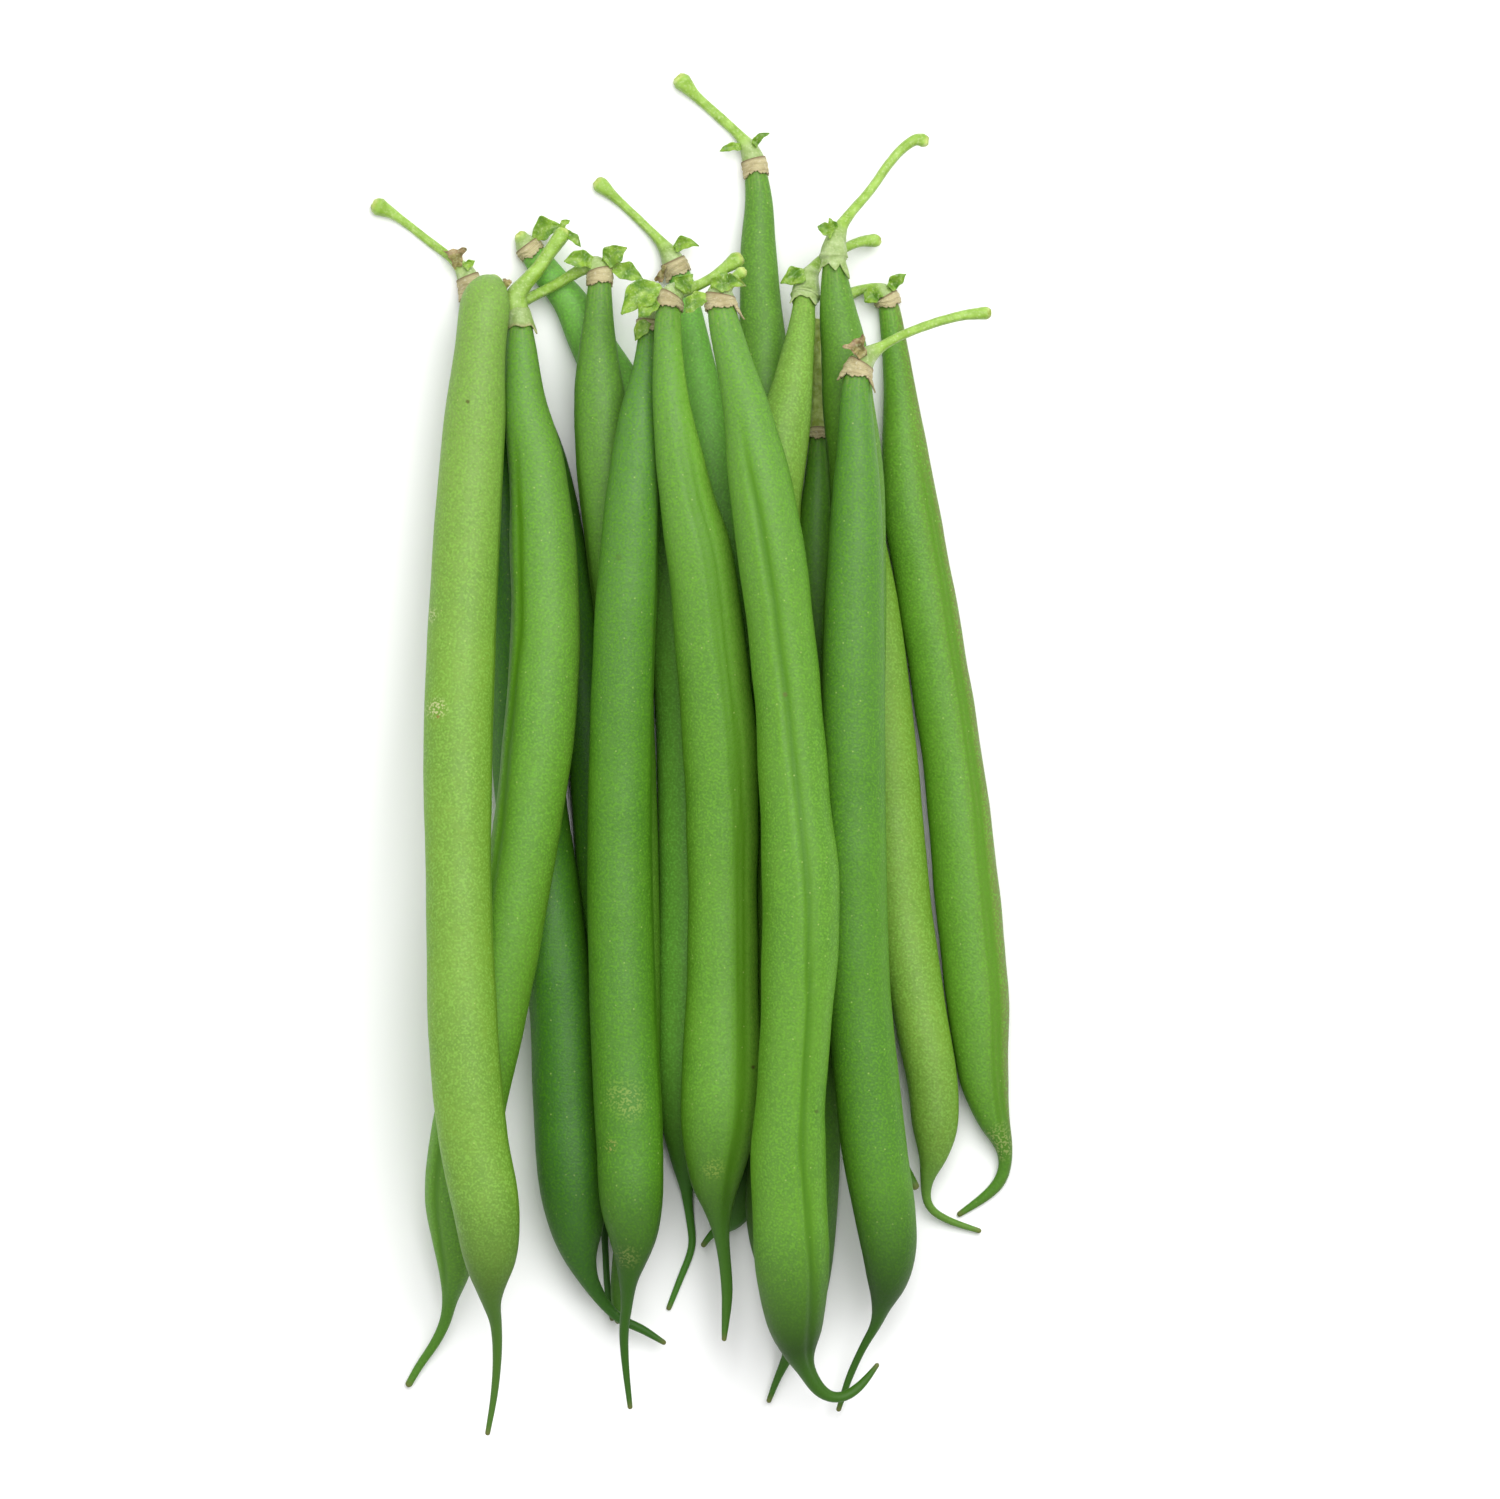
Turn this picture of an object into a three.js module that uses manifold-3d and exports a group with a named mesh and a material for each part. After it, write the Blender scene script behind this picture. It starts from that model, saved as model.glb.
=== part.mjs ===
// A bundle of seventeen green beans lying loose on a table, stalks towards +Y and beaks towards -Y.
// Millimetres, +Z up. Each bean is a pod with its beak, a stalk with the green cup and its leafy teeth,
// and, on most, the dry ring left by the flower between the two.

import * as THREE from 'three';
import { mergeVertices } from 'three/addons/utils/BufferGeometryUtils.js';
import Module from 'manifold-3d';

const wasm = await Module();
wasm.setup();

// ---- driving dimensions ----

const POD_HEIGHT = 0.92; // height of a pod's section over its width
const POD_SIDES = 12; // faces round a pod
const SWELL = 1.02; // corners stand this far out, so that flat faces straddle the round
const STALK_SIDES = 8; // faces round a stalk
const RING_SIDES = 10; // faces round a dry ring
const CLEARANCE = 0.3; // gap between a pod, its ring and its stalk
const BEAN_GAP = 0.4; // gap between neighbouring beans
const FLAT_DEPTH = 0.14; // depth of the flat that a bean's weight presses on the table
const HUMP_RADIUS = 160; // tightest arch of a full-thickness bean lying over another
const SAG_RADIUS = 400; // tightest hollow of a bean bridging two others
const FULL_RADIUS = 3.4; // a bean at least this thick is as stiff as it gets
const MAX_LIMPNESS = 3.2; // how much more freely stalks and beaks bend
const FINE_STEPS = 12; // stations in each span while the beans are laid
const RING_SPACING = [1.1, 1.6]; // rings of a pod's mesh are this far apart: a length, and radii,
const MAX_TURN = 0.3; // unless the bean turns by this between them
const MAX_TAPER = 0.3; // or thins by this share
const SUTURE_DEPTH = 0.05; // depth of the seam line over the pod's radius
const SUTURE_SPREAD = 15; // degrees from the seam line to its shoulders
const LEAF_THICKNESS = 0.7; // thickness of the teeth of a cup
const LEAF_OUTLINE = [[0, 0.7], [0.35, 1], [0.7, 0.75], [1, 0.25]]; // place along a tooth, width there
const LEAF_EDGE = [[1, 0], [0.5, 1], [-0.5, 1], [-1, 0], [-0.5, -1], [0.5, -1]]; // a tooth's section
const LEAF_ARCH = 2; // a tooth rises and falls over this many radians of a sine
const RING_FLARE = 1.12; // a dry ring stands out over the neck beside it
const RING_RAGGED = 0.07; // how far the edge of a dry ring wanders, over its radius
const RAGGED_TURN = 2.4; // radians of that wander from one corner to the next
const BEAK_BULGE = 0.6; // how far the tip of a beak stands out, over its radius
const END_HEIGHT = 0.05; // the closing point of an end is at least this high over the table
const KNOB_BULGE = 0.4; // how far the snapped end of a stalk stands out, over its radius

const MERGE_DISTANCE = 1e-4; // corners this close are one
const COVER_STEP = 4; // every so many stations are enough for the room that a stalk leaves for its neck
const COVER_SPANS = 3; // and it runs this many spans down the pod

const COLOURS = {
  light: 0x8fbc5a,
  fresh: 0x72ab3f,
  mid: 0x67a542,
  deep: 0x578f38,
  stalk: 0x8fb93a,
  ring: 0xb79f70,
};

// ---- the beans, in the order in which they are laid ----
//
// stalk and pod: [x, y, radius] along the middle line, from the snapped end to the rim of the cup,
// and from the neck to the tip of the beak; a fourth number is how far the bean nods down there.
// leaves: [x0, y0, x1, y1, half width, lift of the tip] of each tooth of the cup.
// seam: where the seam line shows, in degrees round the section from +X over the top.
// ring: whether the dry ring has stayed on.

const BEANS = [
  {
    name: '17', skin: 'fresh', seam: 52, ring: true,
    stalk: [
      [19.8, 60.2, 0.8], [21.4, 60.8, 0.6], [22.8, 60.9, 0.75], [24.0, 60.4, 1.35],
      [24.6, 59.6, 1.6],
    ],
    pod: [
      [25.0, 58.1, 1.45], [25.4, 55.2, 1.55], [26.22, 48.8, 1.97], [27.67, 33.0, 3.42],
      [29.92, 19.8, 3.67], [33.32, -1.3, 3.77], [35.12, -18.0, 4.12], [36.62, -33.0, 3.92],
      [37.42, -43.0, 3.12], [38.6, -48.2, 2.2], [40.1, -52.3, 1.15], [40.3, -54.6, 0.85],
      [39.6, -56.9, 0.85], [37.9, -58.7, 0.7], [34.3, -61.2, 0.4],
    ],
    leaves: [[24.0, 60.1, 21.7, 59.2, 1.0, 1.0], [24.6, 60.4, 27.1, 62.9, 0.6, 1.0]],
  },
  {
    name: '16', skin: 'light', ring: false,
    stalk: [[18.2, 49.9, 0.8], [18.7, 47.8, 0.6], [19.1, 45.9, 1.1], [19.4, 44.6, 1.35]],
    pod: [
      [19.5, 43.9, 1.3], [19.7, 38.9, 2.0], [20.4, 32.3, 2.7], [22.3, 19.8, 3.7], [24.75, -1.3, 3.85],
      [26.7, -21.4, 3.85], [28.9, -34.2, 3.5], [30.7, -44.2, 3.25], [31.0, -50.0, 2.9],
      [30.7, -53.6, 1.9], [30.0, -56.3, 0.95], [29.8, -58.8, 0.6], [30.3, -60.4, 0.55],
      [32.5, -61.9, 0.5], [36.8, -63.4, 0.35],
    ],
    leaves: [],
  },
  {
    name: '04', skin: 'mid', ring: false,
    stalk: [[-26.0, 56.0, 0.75], [-25.6, 54.4, 0.6], [-24.9, 52.9, 1.1], [-24.3, 51.7, 1.35]],
    pod: [
      [-24.0, 51.0, 1.3], [-22.4, 45.1, 2.0], [-20.8, 38.9, 2.7], [-19.4, 31.7, 3.1],
      [-17.9, 22.4, 3.2], [-16.2, 13.2, 3.0], [-14.6, 1.3, 2.9], [-13.1, -18.5, 2.85],
      [-12.5, -38.3, 2.5], [-12.4, -50.5, 2.2], [-12.5, -58.1, 1.3], [-12.6, -63.5, 0.5],
      [-12.4, -68.0, 0.45], [-12.2, -71.3, 0.45], [-11.6, -75.0, 0.35],
    ],
    leaves: [],
  },
  {
    name: '05', skin: 'mid', ring: true,
    stalk: [[-23.5, 67.5, 1.0], [-23.3, 67.2, 1.25], [-23.0, 66.8, 1.5], [-22.7, 66.4, 1.65]],
    pod: [
      [-22.0, 65.5, 1.6], [-20.6, 63.5, 1.8], [-18.2, 60.6, 1.95], [-16.9, 58.9, 2.15],
      [-14.7, 54.4, 2.55], [-9.5, 44.6, 3.3], [-4.8, 30.4, 3.75], [-1.9, 9.0, 3.9],
      [-1.3, -18.0, 3.9], [-1.7, -38.5, 3.75], [-2.0, -48.5, 3.0], [-2.0, -54.0, 1.8],
      [-1.75, -58.1, 0.8], [-1.3, -62.0, 0.55], [-1.0, -65.3, 0.5], [-2.7, -70.0, 0.45],
      [-4.1, -73.6, 0.35],
    ],
    leaves: [[-22.2, 67.7, -18.6, 69.3, 1.1, 1.2]],
  },
  {
    name: '09', skin: 'deep', ring: true,
    stalk: [
      [-13.1, 74.6, 1.05], [-11.1, 72.85, 0.6], [-8.15, 70.1, 0.55], [-5.55, 67.5, 0.65],
      [-4.2, 65.7, 1.15], [-3.5, 64.3, 1.6],
    ],
    pod: [
      [-2.6, 62.5, 1.5], [-1.6, 58.1, 1.7], [-0.6, 51.5, 2.25], [0.2, 46.2, 2.8], [1.1, 40.9, 3.15],
      [2.9, 31.5, 3.6], [5.2, 16.5, 3.2], [6.3, -5.0, 3.1], [6.3, -30.0, 3.1], [5.9, -49.5, 3.2],
      [5.1, -57.5, 2.95], [4.3, -61.4, 1.9], [3.0, -62.9, 1.0], [1.7, -63.6, 0.5],
      [0.5, -65.2, 0.4],
    ],
    leaves: [[-3.9, 64.7, -0.3, 66.8, 0.6, 1.0], [-4.2, 64.5, -5.3, 62.8, 0.6, 0.8]],
  },
  {
    name: '13', skin: 'deep', ring: true,
    stalk: [
      [15.6, 56.1, 0.95], [15.4, 54.4, 0.7], [15.4, 49.5, 0.7], [15.5, 45.4, 0.8], [15.6, 43.4, 1.15],
      [15.6, 41.9, 1.35],
    ],
    pod: [
      [15.6, 40.2, 1.3], [15.6, 36.3, 1.65], [15.4, 30.4, 2.3], [15.4, 19.8, 3.0], [15.6, 4.0, 3.1],
      [15.4, -16.0, 3.2], [14.9, -36.0, 3.5], [14.3, -51.5, 4.1], [14.1, -60.7, 3.95],
      [13.9, -67.6, 3.5], [13.6, -73.3, 2.6], [12.7, -77.2, 1.55], [11.6, -79.9, 0.8],
      [10.2, -82.9, 0.5], [9.1, -85.8, 0.35],
    ],
    leaves: [],
  },
  {
    name: '06', skin: 'deep', ring: true,
    stalk: [
      [-23.2, 59.3, 0.8], [-21.5, 60.1, 0.7], [-18.9, 61.4, 0.7], [-16.9, 62.6, 0.75],
      [-15.0, 63.6, 0.9], [-13.7, 63.9, 1.35], [-13.2, 62.8, 1.6],
    ],
    pod: [
      [-13.2, 61.1, 1.55], [-13.3, 57.4, 1.8], [-13.4, 53.5, 2.3], [-13.2, 46.9, 3.1],
      [-12.4, 38.3, 3.7], [-11.2, 29.0, 3.9], [-9.9, 13.2, 3.3], [-8.8, -8.0, 3.0], [-8.3, -33.0, 2.9],
      [-8.6, -52.8, 2.7], [-9.6, -62.7, 1.5], [-10.6, -68.8, 1.15], [-11.0, -72.6, 0.8],
      [-10.8, -75.2, 0.5],
    ],
    leaves: [
      [-13.9, 63.7, -17.4, 65.0, 1.0, 1.6], [-13.2, 63.8, -9.1, 65.9, 1.0, 1.6],
      [-12.9, 63.3, -7.9, 62.1, 1.0, 1.2],
    ],
  },
  {
    name: '11', skin: 'mid', ring: true,
    stalk: [
      [-2.3, 88.2, 1.2], [-0.7, 86.5, 0.7], [2.8, 83.35, 0.65], [5.3, 81.0, 0.7], [6.5, 79.3, 1.2],
      [7.1, 77.6, 1.55],
    ],
    pod: [
      [7.4, 75.9, 1.5], [7.8, 71.9, 1.8], [7.7, 67.3, 2.2], [7.9, 60.7, 2.55], [8.5, 50.5, 3.2],
      [9.1, 38.0, 3.4], [9.7, 20.0, 3.1], [10.3, -10.0, 3.0], [10.3, -34.0, 3.0], [9.6, -52.0, 3.0],
      [8.5, -60.8, 2.5], [7.9, -65.1, 1.3], [8.1, -67.8, 0.65], [8.7, -70.6, 0.4],
    ],
    leaves: [[6.5, 78.9, 2.7, 78.8, 0.7, 1.2], [6.8, 79.1, 9.2, 81.4, 0.7, 1.2]],
  },
  {
    name: '12', skin: 'mid', ring: false,
    stalk: [
      [23.1, 67.25, 0.9, 7.0], [21.1, 67.05, 0.65, 6.1], [18.5, 65.9, 0.6, 5.0],
      [16.2, 64.75, 0.65, 4.1], [15.0, 63.4, 0.9, 3.4], [14.2, 61.9, 1.55, 2.9],
      [13.9, 59.8, 1.85, 2.4],
    ],
    pod: [
      [13.8, 59.3, 1.5, 2.2], [13.4, 55.4, 1.75, 1.4], [12.7, 51.2, 2.2, 0.7],
      [11.8, 45.9, 2.85, 0.1], [10.7, 40.5, 3.5], [9.6, 31.0, 3.5], [10.6, 20.0, 3.1],
      [12.4, 8.0, 2.9], [14.0, -6.0, 2.9], [14.4, -24.0, 2.8], [14.4, -38.0, 2.4],
      [14.3, -45.0, 1.6], [14.2, -50.0, 0.85], [14.4, -54.6, 0.45],
    ],
    leaves: [
      [14.2, 61.4, 10.6, 62.3, 0.8, 1.2], [13.8, 60.6, 12.2, 57.7, 0.7, 2.2],
      [13.9, 60.6, 14.8, 57.7, 0.7, 2.2],
    ],
  },
  {
    name: '14', skin: 'mid', ring: false,
    stalk: [
      [29.4, 80.4, 0.9], [28.5, 80.5, 0.75], [26.8, 79.4, 0.65], [25.0, 77.4, 0.6],
      [22.4, 73.7, 0.6], [20.05, 70.95, 0.65], [18.7, 69.1, 0.85], [17.85, 66.9, 1.45],
      [17.6, 65.0, 1.8],
    ],
    pod: [
      [17.6, 64.5, 1.45], [17.8, 61.4, 1.85], [18.2, 57.4, 2.4], [19.0, 52.1, 2.95],
      [19.5, 45.5, 3.25], [20.5, 37.0, 3.5], [21.2, 17.2, 3.2], [20.9, -4.0, 3.1],
      [21.3, -26.0, 3.0], [22.6, -38.5, 2.4], [24.0, -46.2, 1.6], [25.3, -51.9, 1.05],
      [26.8, -55.4, 1.0], [28.3, -57.4, 0.6],
    ],
    leaves: [
      [18.2, 68.6, 15.9, 69.0, 0.55, 0.8], [17.7, 65.8, 17.7, 62.7, 0.8, 2.4],
      [18.2, 65.8, 19.2, 62.3, 0.55, 1.8], [17.1, 65.8, 15.7, 62.5, 0.5, 1.6],
    ],
  },
  {
    name: '15', skin: 'deep', ring: true,
    stalk: [
      [37.6, 57.45, 0.85], [34.6, 57.15, 0.65], [30.4, 56.0, 0.6], [26.4, 54.4, 0.6],
      [23.9, 53.0, 0.7], [22.0, 51.7, 1.35], [21.1, 50.5, 1.7],
    ],
    pod: [
      [20.6, 48.8, 1.75], [20.5, 44.9, 2.1], [20.6, 38.3, 2.65], [20.5, 29.5, 3.4],
      [20.2, 17.2, 3.9], [20.1, 6.6, 4.1], [20.2, -10.0, 4.15], [20.5, -26.4, 4.2],
      [21.3, -37.0, 4.1], [23.0, -52.8, 4.2], [24.4, -61.2, 3.9], [24.9, -66.0, 3.45],
      [24.6, -70.0, 2.6], [23.9, -73.1, 1.35], [23.2, -75.6, 0.75], [21.7, -78.3, 0.55],
      [19.8, -82.4, 0.5], [18.3, -86.9, 0.35],
    ],
    leaves: [[21.7, 51.7, 20.0, 53.6, 1.1, 1.3]],
  },
  {
    name: '01', skin: 'mid', ring: true,
    stalk: [
      [-42.3, 71.7, 1.2], [-40.4, 70.7, 0.65], [-35.45, 66.95, 0.55], [-32.4, 64.6, 0.65],
      [-31.1, 63.2, 1.2], [-30.6, 62.2, 1.45],
    ],
    pod: [
      [-30.2, 60.2, 1.4], [-29.4, 53.5, 2.25], [-28.4, 46.2, 2.8], [-26.1, 30.4, 3.2],
      [-24.1, 14.5, 3.6], [-22.3, -6.6, 4.4], [-18.2, -33.0, 4.1], [-17.6, -46.2, 4.15],
      [-16.8, -56.8, 4.15], [-16.3, -62.0, 3.5], [-15.9, -66.0, 2.35], [-14.7, -69.6, 1.3],
      [-12.8, -72.7, 0.85], [-10.6, -75.0, 0.65], [-7.9, -76.2, 0.6], [-4.8, -78.1, 0.35],
    ],
    leaves: [[-31.4, 63.8, -33.3, 66.1, 1.0, 1.0], [-31.0, 63.6, -29.6, 65.0, 0.6, 0.8]],
  },
  {
    name: '03', skin: 'fresh', seam: 128, ring: false,
    stalk: [
      [-18.1, 68.0, 1.05], [-19.9, 65.5, 0.9], [-21.6, 63.1, 0.95], [-23.2, 61.3, 1.1],
      [-24.2, 59.9, 1.4], [-24.1, 57.8, 1.6],
    ],
    pod: [
      [-23.8, 57.1, 1.45], [-23.6, 53.5, 1.95], [-23.1, 46.2, 2.65], [-21.6, 38.3, 3.45],
      [-20.7, 27.7, 4.15], [-20.3, 15.8, 4.4], [-21.1, 2.6, 4.5], [-23.2, -13.2, 4.2],
      [-26.9, -33.0, 4.3], [-31.0, -51.5, 4.35], [-31.9, -58.7, 4.2], [-32.2, -64.7, 2.9],
      [-32.3, -68.6, 2.05], [-33.0, -72.6, 0.95], [-33.55, -75.2, 0.75], [-34.9, -78.1, 0.65],
      [-37.1, -81.3, 0.55], [-38.4, -83.6, 0.5],
    ],
    leaves: [
      [-24.0, 58.6, -23.1, 54.8, 0.8, 2.3], [-23.3, 58.6, -21.7, 54.0, 0.6, 1.8],
      [-24.2, 58.6, -24.6, 55.4, 0.4, 1.6],
    ],
  },
  {
    name: '02', skin: 'light', ring: false,
    stalk: [
      [-27.0, 61.7, 0.7, 11.0], [-27.1, 61.6, 0.6, 9.8], [-27.2, 61.5, 1.1, 8.8],
      [-27.3, 61.4, 1.4, 7.8],
    ],
    pod: [
      [-27.4, 61.2, 1.3, 7.0], [-27.6, 60.8, 1.9, 5.4], [-27.8, 60.4, 2.7, 3.6],
      [-28.1, 59.6, 3.1, 1.8], [-28.3, 58.2, 3.2, 0.5], [-28.8, 53.6, 3.2], [-29.6, 43.6, 3.9],
      [-30.8, 25.1, 4.3], [-31.7, 1.3, 4.45], [-31.6, -17.2, 4.2], [-30.9, -38.3, 4.5],
      [-29.6, -51.5, 4.4], [-28.1, -59.4, 4.3], [-27.5, -66.0, 3.55], [-27.5, -68.9, 2.65],
      [-27.3, -72.6, 1.25], [-26.8, -74.9, 0.85], [-26.6, -78.9, 0.65], [-27.0, -84.5, 0.5],
      [-27.9, -89.8, 0.35],
    ],
    leaves: [],
  },
  {
    name: '07', skin: 'deep', ring: true,
    stalk: [[-6.4, 61.0, 0.75], [-6.6, 59.9, 0.6], [-6.8, 57.8, 1.1], [-6.9, 56.2, 1.35]],
    pod: [
      [-6.9, 54.2, 1.25], [-7.1, 51.2, 1.5], [-7.3, 48.8, 1.85], [-7.9, 43.6, 2.65],
      [-8.7, 34.5, 3.35], [-9.5, 22.0, 3.85], [-10.2, 6.6, 4.0], [-10.5, -13.2, 4.15],
      [-10.1, -33.0, 4.3], [-9.2, -51.5, 4.3], [-9.0, -59.4, 4.0], [-8.8, -63.1, 3.3],
      [-9.0, -66.5, 2.3], [-9.4, -69.8, 1.25], [-9.6, -72.9, 0.8], [-10.0, -76.6, 0.65],
      [-9.8, -81.0, 0.5], [-9.2, -86.5, 0.35],
    ],
    leaves: [[-7.3, 57.0, -8.5, 53.9, 0.8, 0.6]],
  },
  {
    name: '08', skin: 'fresh', seam: 56, ring: true,
    stalk: [
      [4.8, 64.4, 1.1], [3.1, 63.2, 0.7], [0.8, 61.6, 0.65], [-1.2, 60.7, 0.8], [-2.9, 60.3, 1.35],
      [-3.8, 59.3, 1.75],
    ],
    pod: [
      [-4.1, 57.5, 1.7], [-4.2, 53.5, 1.8], [-3.8, 46.2, 2.3], [-3.0, 40.3, 2.8], [-1.7, 33.0, 3.45],
      [0.1, 25.1, 4.15], [1.3, 14.5, 4.4], [2.7, -0.5, 4.75], [3.0, -20.0, 4.35], [2.9, -35.6, 4.7],
      [2.7, -43.6, 5.0], [2.4, -49.5, 4.7], [2.1, -56.8, 3.15], [2.4, -59.8, 2.0], [2.8, -63.4, 1.1],
      [3.2, -66.5, 0.85], [3.6, -71.3, 0.75], [3.4, -75.0, 0.55], [3.2, -77.5, 0.35],
    ],
    leaves: [
      [-3.4, 60.0, -10.2, 57.6, 1.7, 1.4], [-3.3, 60.2, -7.0, 61.4, 1.1, 1.2],
      [-2.6, 60.4, -0.3, 62.3, 0.9, 1.8],
    ],
  },
  {
    name: '10', skin: 'fresh', seam: 60, ring: true,
    stalk: [[5.4, 62.6, 0.8], [4.6, 61.9, 0.65], [3.2, 60.9, 1.4], [2.7, 59.4, 1.9]],
    pod: [
      [2.9, 57.4, 1.9], [3.7, 53.9, 2.1], [4.8, 49.8, 2.4], [6.1, 44.9, 2.9], [7.3, 38.5, 3.55],
      [8.7, 30.4, 4.2], [10.2, 19.8, 4.2], [11.6, 6.6, 4.2], [12.4, -5.3, 4.4], [13.3, -19.0, 4.9],
      [12.7, -34.3, 4.55], [12.1, -43.6, 4.35], [11.6, -52.8, 4.7], [11.9, -62.0, 4.8],
      [12.2, -68.6, 4.6], [12.4, -73.3, 4.0], [12.7, -76.6, 3.15], [13.1, -79.1, 2.1],
      [13.9, -81.2, 1.25], [15.8, -84.2, 0.95], [17.7, -85.2, 0.7], [19.5, -84.8, 0.7],
      [21.4, -83.3, 0.6], [23.3, -80.9, 0.35],
    ],
    leaves: [
      [2.6, 60.4, -2.2, 57.6, 0.9, 1.6], [2.9, 60.6, 1.9, 62.4, 1.0, 2.2],
      [3.4, 60.4, 6.4, 60.7, 0.9, 1.6],
    ],
  },
];

// ---- laying the beans ----

// stations along one bean: a smooth run through its points, with its place along the bean's own bend
function walk(points) {
  const places = points.map(([x, y, r]) => new THREE.Vector3(x, y, r));
  const curve = new THREE.CatmullRomCurve3(places, false, 'centripetal');
  const nods = new THREE.SplineCurve(points.map((p, i) => new THREE.Vector2(i, p[3] ?? 0)));
  const spans = (points.length - 1) * FINE_STEPS;
  const stations = Array.from({ length: spans + 1 }, (_, i) => {
    const { x, y, z: r } = curve.getPoint(i / spans);
    return { x, y, r, nod: Math.max(0, nods.getPoint(i / spans).y), bend: 0, run: 0 };
  });
  for (let i = 1; i < stations.length; i++) {
    const [a, b] = [stations[i - 1], stations[i]];
    const length = Math.hypot(b.x - a.x, b.y - a.y);
    const limpness = THREE.MathUtils.clamp(FULL_RADIUS / b.r, 1, MAX_LIMPNESS);
    b.run = a.run + length;
    b.bend = a.bend + length * limpness;
  }
  return stations;
}

// lowest height of a station's middle line: on the table, or on a bean laid before it
function support(station, heap) {
  let height = station.r * POD_HEIGHT - FLAT_DEPTH;
  for (const other of heap) {
    const reach = station.r + other.r + BEAN_GAP;
    const apart = Math.hypot(station.x - other.x, station.y - other.y);
    if (apart < reach) {
      height = Math.max(height, other.z + POD_HEIGHT * Math.sqrt(reach ** 2 - apart ** 2));
    }
  }
  return height;
}

// the slope and drop that tip a bean about what it touches, till it is held on both sides of its middle
function tip(stations, slack) {
  const middle = stations[stations.length - 1].run / 2;
  let rest = { drop: Infinity, slope: 0, middle };
  stations.forEach((a, i) => {
    stations.forEach((b, j) => {
      if (a.run > middle || b.run <= middle) return;
      const slope = (slack[j] - slack[i]) / (b.run - a.run);
      const drop = slack[i] + slope * (middle - a.run);
      if (drop < rest.drop) rest = { drop, slope, middle };
    });
  });
  return rest;
}

// the heights of a bean that lies on what is under it and bends no more sharply than a bean can
function lay(stations, heap) {
  const bow = (a, b, radius) => (a.bend - b.bend) ** 2 / (2 * radius);
  const raise = (heights, radius) => stations.map((a) => (
    Math.max(...stations.map((b, i) => heights[i] - bow(a, b, radius)))));
  const lower = (heights, radius) => stations.map((a) => (
    Math.min(...stations.map((b, i) => heights[i] + bow(a, b, radius)))));
  const held = stations.map((s) => support(s, heap));
  const bridged = lower(raise(held, SAG_RADIUS), SAG_RADIUS);
  const arched = raise(bridged, HUMP_RADIUS);
  const { drop, slope, middle } = tip(stations, arched.map((height, i) => height - held[i]));
  stations.forEach((s, i) => {
    s.z = Math.max(held[i], arched[i] - drop - slope * (s.run - middle) - s.nod);
  });
}

// each station's length from the snapped end, and its directions: along the bean, to the side, and up
function aim(stations) {
  stations.forEach((s, i) => {
    const a = stations[Math.max(0, i - 1)];
    const b = stations[Math.min(stations.length - 1, i + 1)];
    s.length = i === 0 ? 0 : a.length + Math.hypot(s.x - a.x, s.y - a.y, s.z - a.z);
    s.along = new THREE.Vector3(b.x - a.x, b.y - a.y, b.z - a.z).normalize();
    s.side = new THREE.Vector3(0, 0, 1).cross(s.along).normalize();
    s.up = s.along.clone().cross(s.side);
  });
}

// ---- solids ----

// closed mesh through rings of points, each ring in the same order, with a point to close each end
function skin(rings, first, last) {
  const sides = rings[0].length;
  const vertices = [first, ...rings.flat(), last];
  const at = (ring, side) => 1 + ring * sides + (side % sides);
  const faces = [];
  for (let k = 0; k < sides; k++) {
    faces.push(0, at(0, k + 1), at(0, k));
    for (let i = 0; i + 1 < rings.length; i++) {
      faces.push(at(i, k), at(i, k + 1), at(i + 1, k + 1));
      faces.push(at(i, k), at(i + 1, k + 1), at(i + 1, k));
    }
    faces.push(vertices.length - 1, at(rings.length - 1, k), at(rings.length - 1, k + 1));
  }
  return meshed(vertices.flatMap((v) => v.toArray()), faces);
}

function meshed(coordinates, faces) {
  const geometry = new THREE.BufferGeometry();
  geometry.setAttribute('position', new THREE.Float32BufferAttribute(coordinates, 3));
  geometry.setIndex(faces);
  return geometry;
}

// solid along stations, whose section is given by a list of [angle, size] and a height over width;
// each end stands out by its bulge, times the radius there
function sweep(stations, section, height, bulges) {
  const rings = stations.map((s, i) => section(i).map(([angle, size]) => {
    const radius = s.r * size;
    const point = new THREE.Vector3(s.x, s.y, s.z)
      .addScaledVector(s.side, Math.cos(angle) * radius)
      .addScaledVector(s.up, Math.sin(angle) * radius * height);
    point.z = Math.max(0, point.z);
    return point;
  }));
  const ends = [stations[0], stations[stations.length - 1]].map((s, end) => {
    const reach = s.r * bulges[end] * (end === 0 ? -1 : 1);
    const point = new THREE.Vector3(s.x, s.y, s.z).addScaledVector(s.along, reach);
    point.z = Math.max(END_HEIGHT, point.z);
    return point;
  });
  return skin(rings, ...ends);
}

// directions round an even section, and the size there
function evenSection(sides) {
  return Array.from({ length: sides }, (_, k) => [(2 * Math.PI * (k + 0.5)) / sides, SWELL]);
}

// a pod's section: even, but for a shallow line and its two shoulders along the seam
function podSection(seamDegrees) {
  const even = evenSection(POD_SIDES);
  if (seamDegrees === undefined) return even;
  const [seam, spread] = [seamDegrees, SUTURE_SPREAD].map(THREE.MathUtils.degToRad);
  const clear = even.filter(([angle]) => Math.abs(angle - seam) > spread + Math.PI / POD_SIDES);
  const line = [[seam - spread, SWELL], [seam, 1 - SUTURE_DEPTH], [seam + spread, SWELL]];
  return [...clear, ...line].sort((a, b) => a[0] - b[0]);
}

// every nth station, and always the last
const every = (stations, n) => stations.filter((_, i) => i % n === 0 || i === stations.length - 1);

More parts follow.
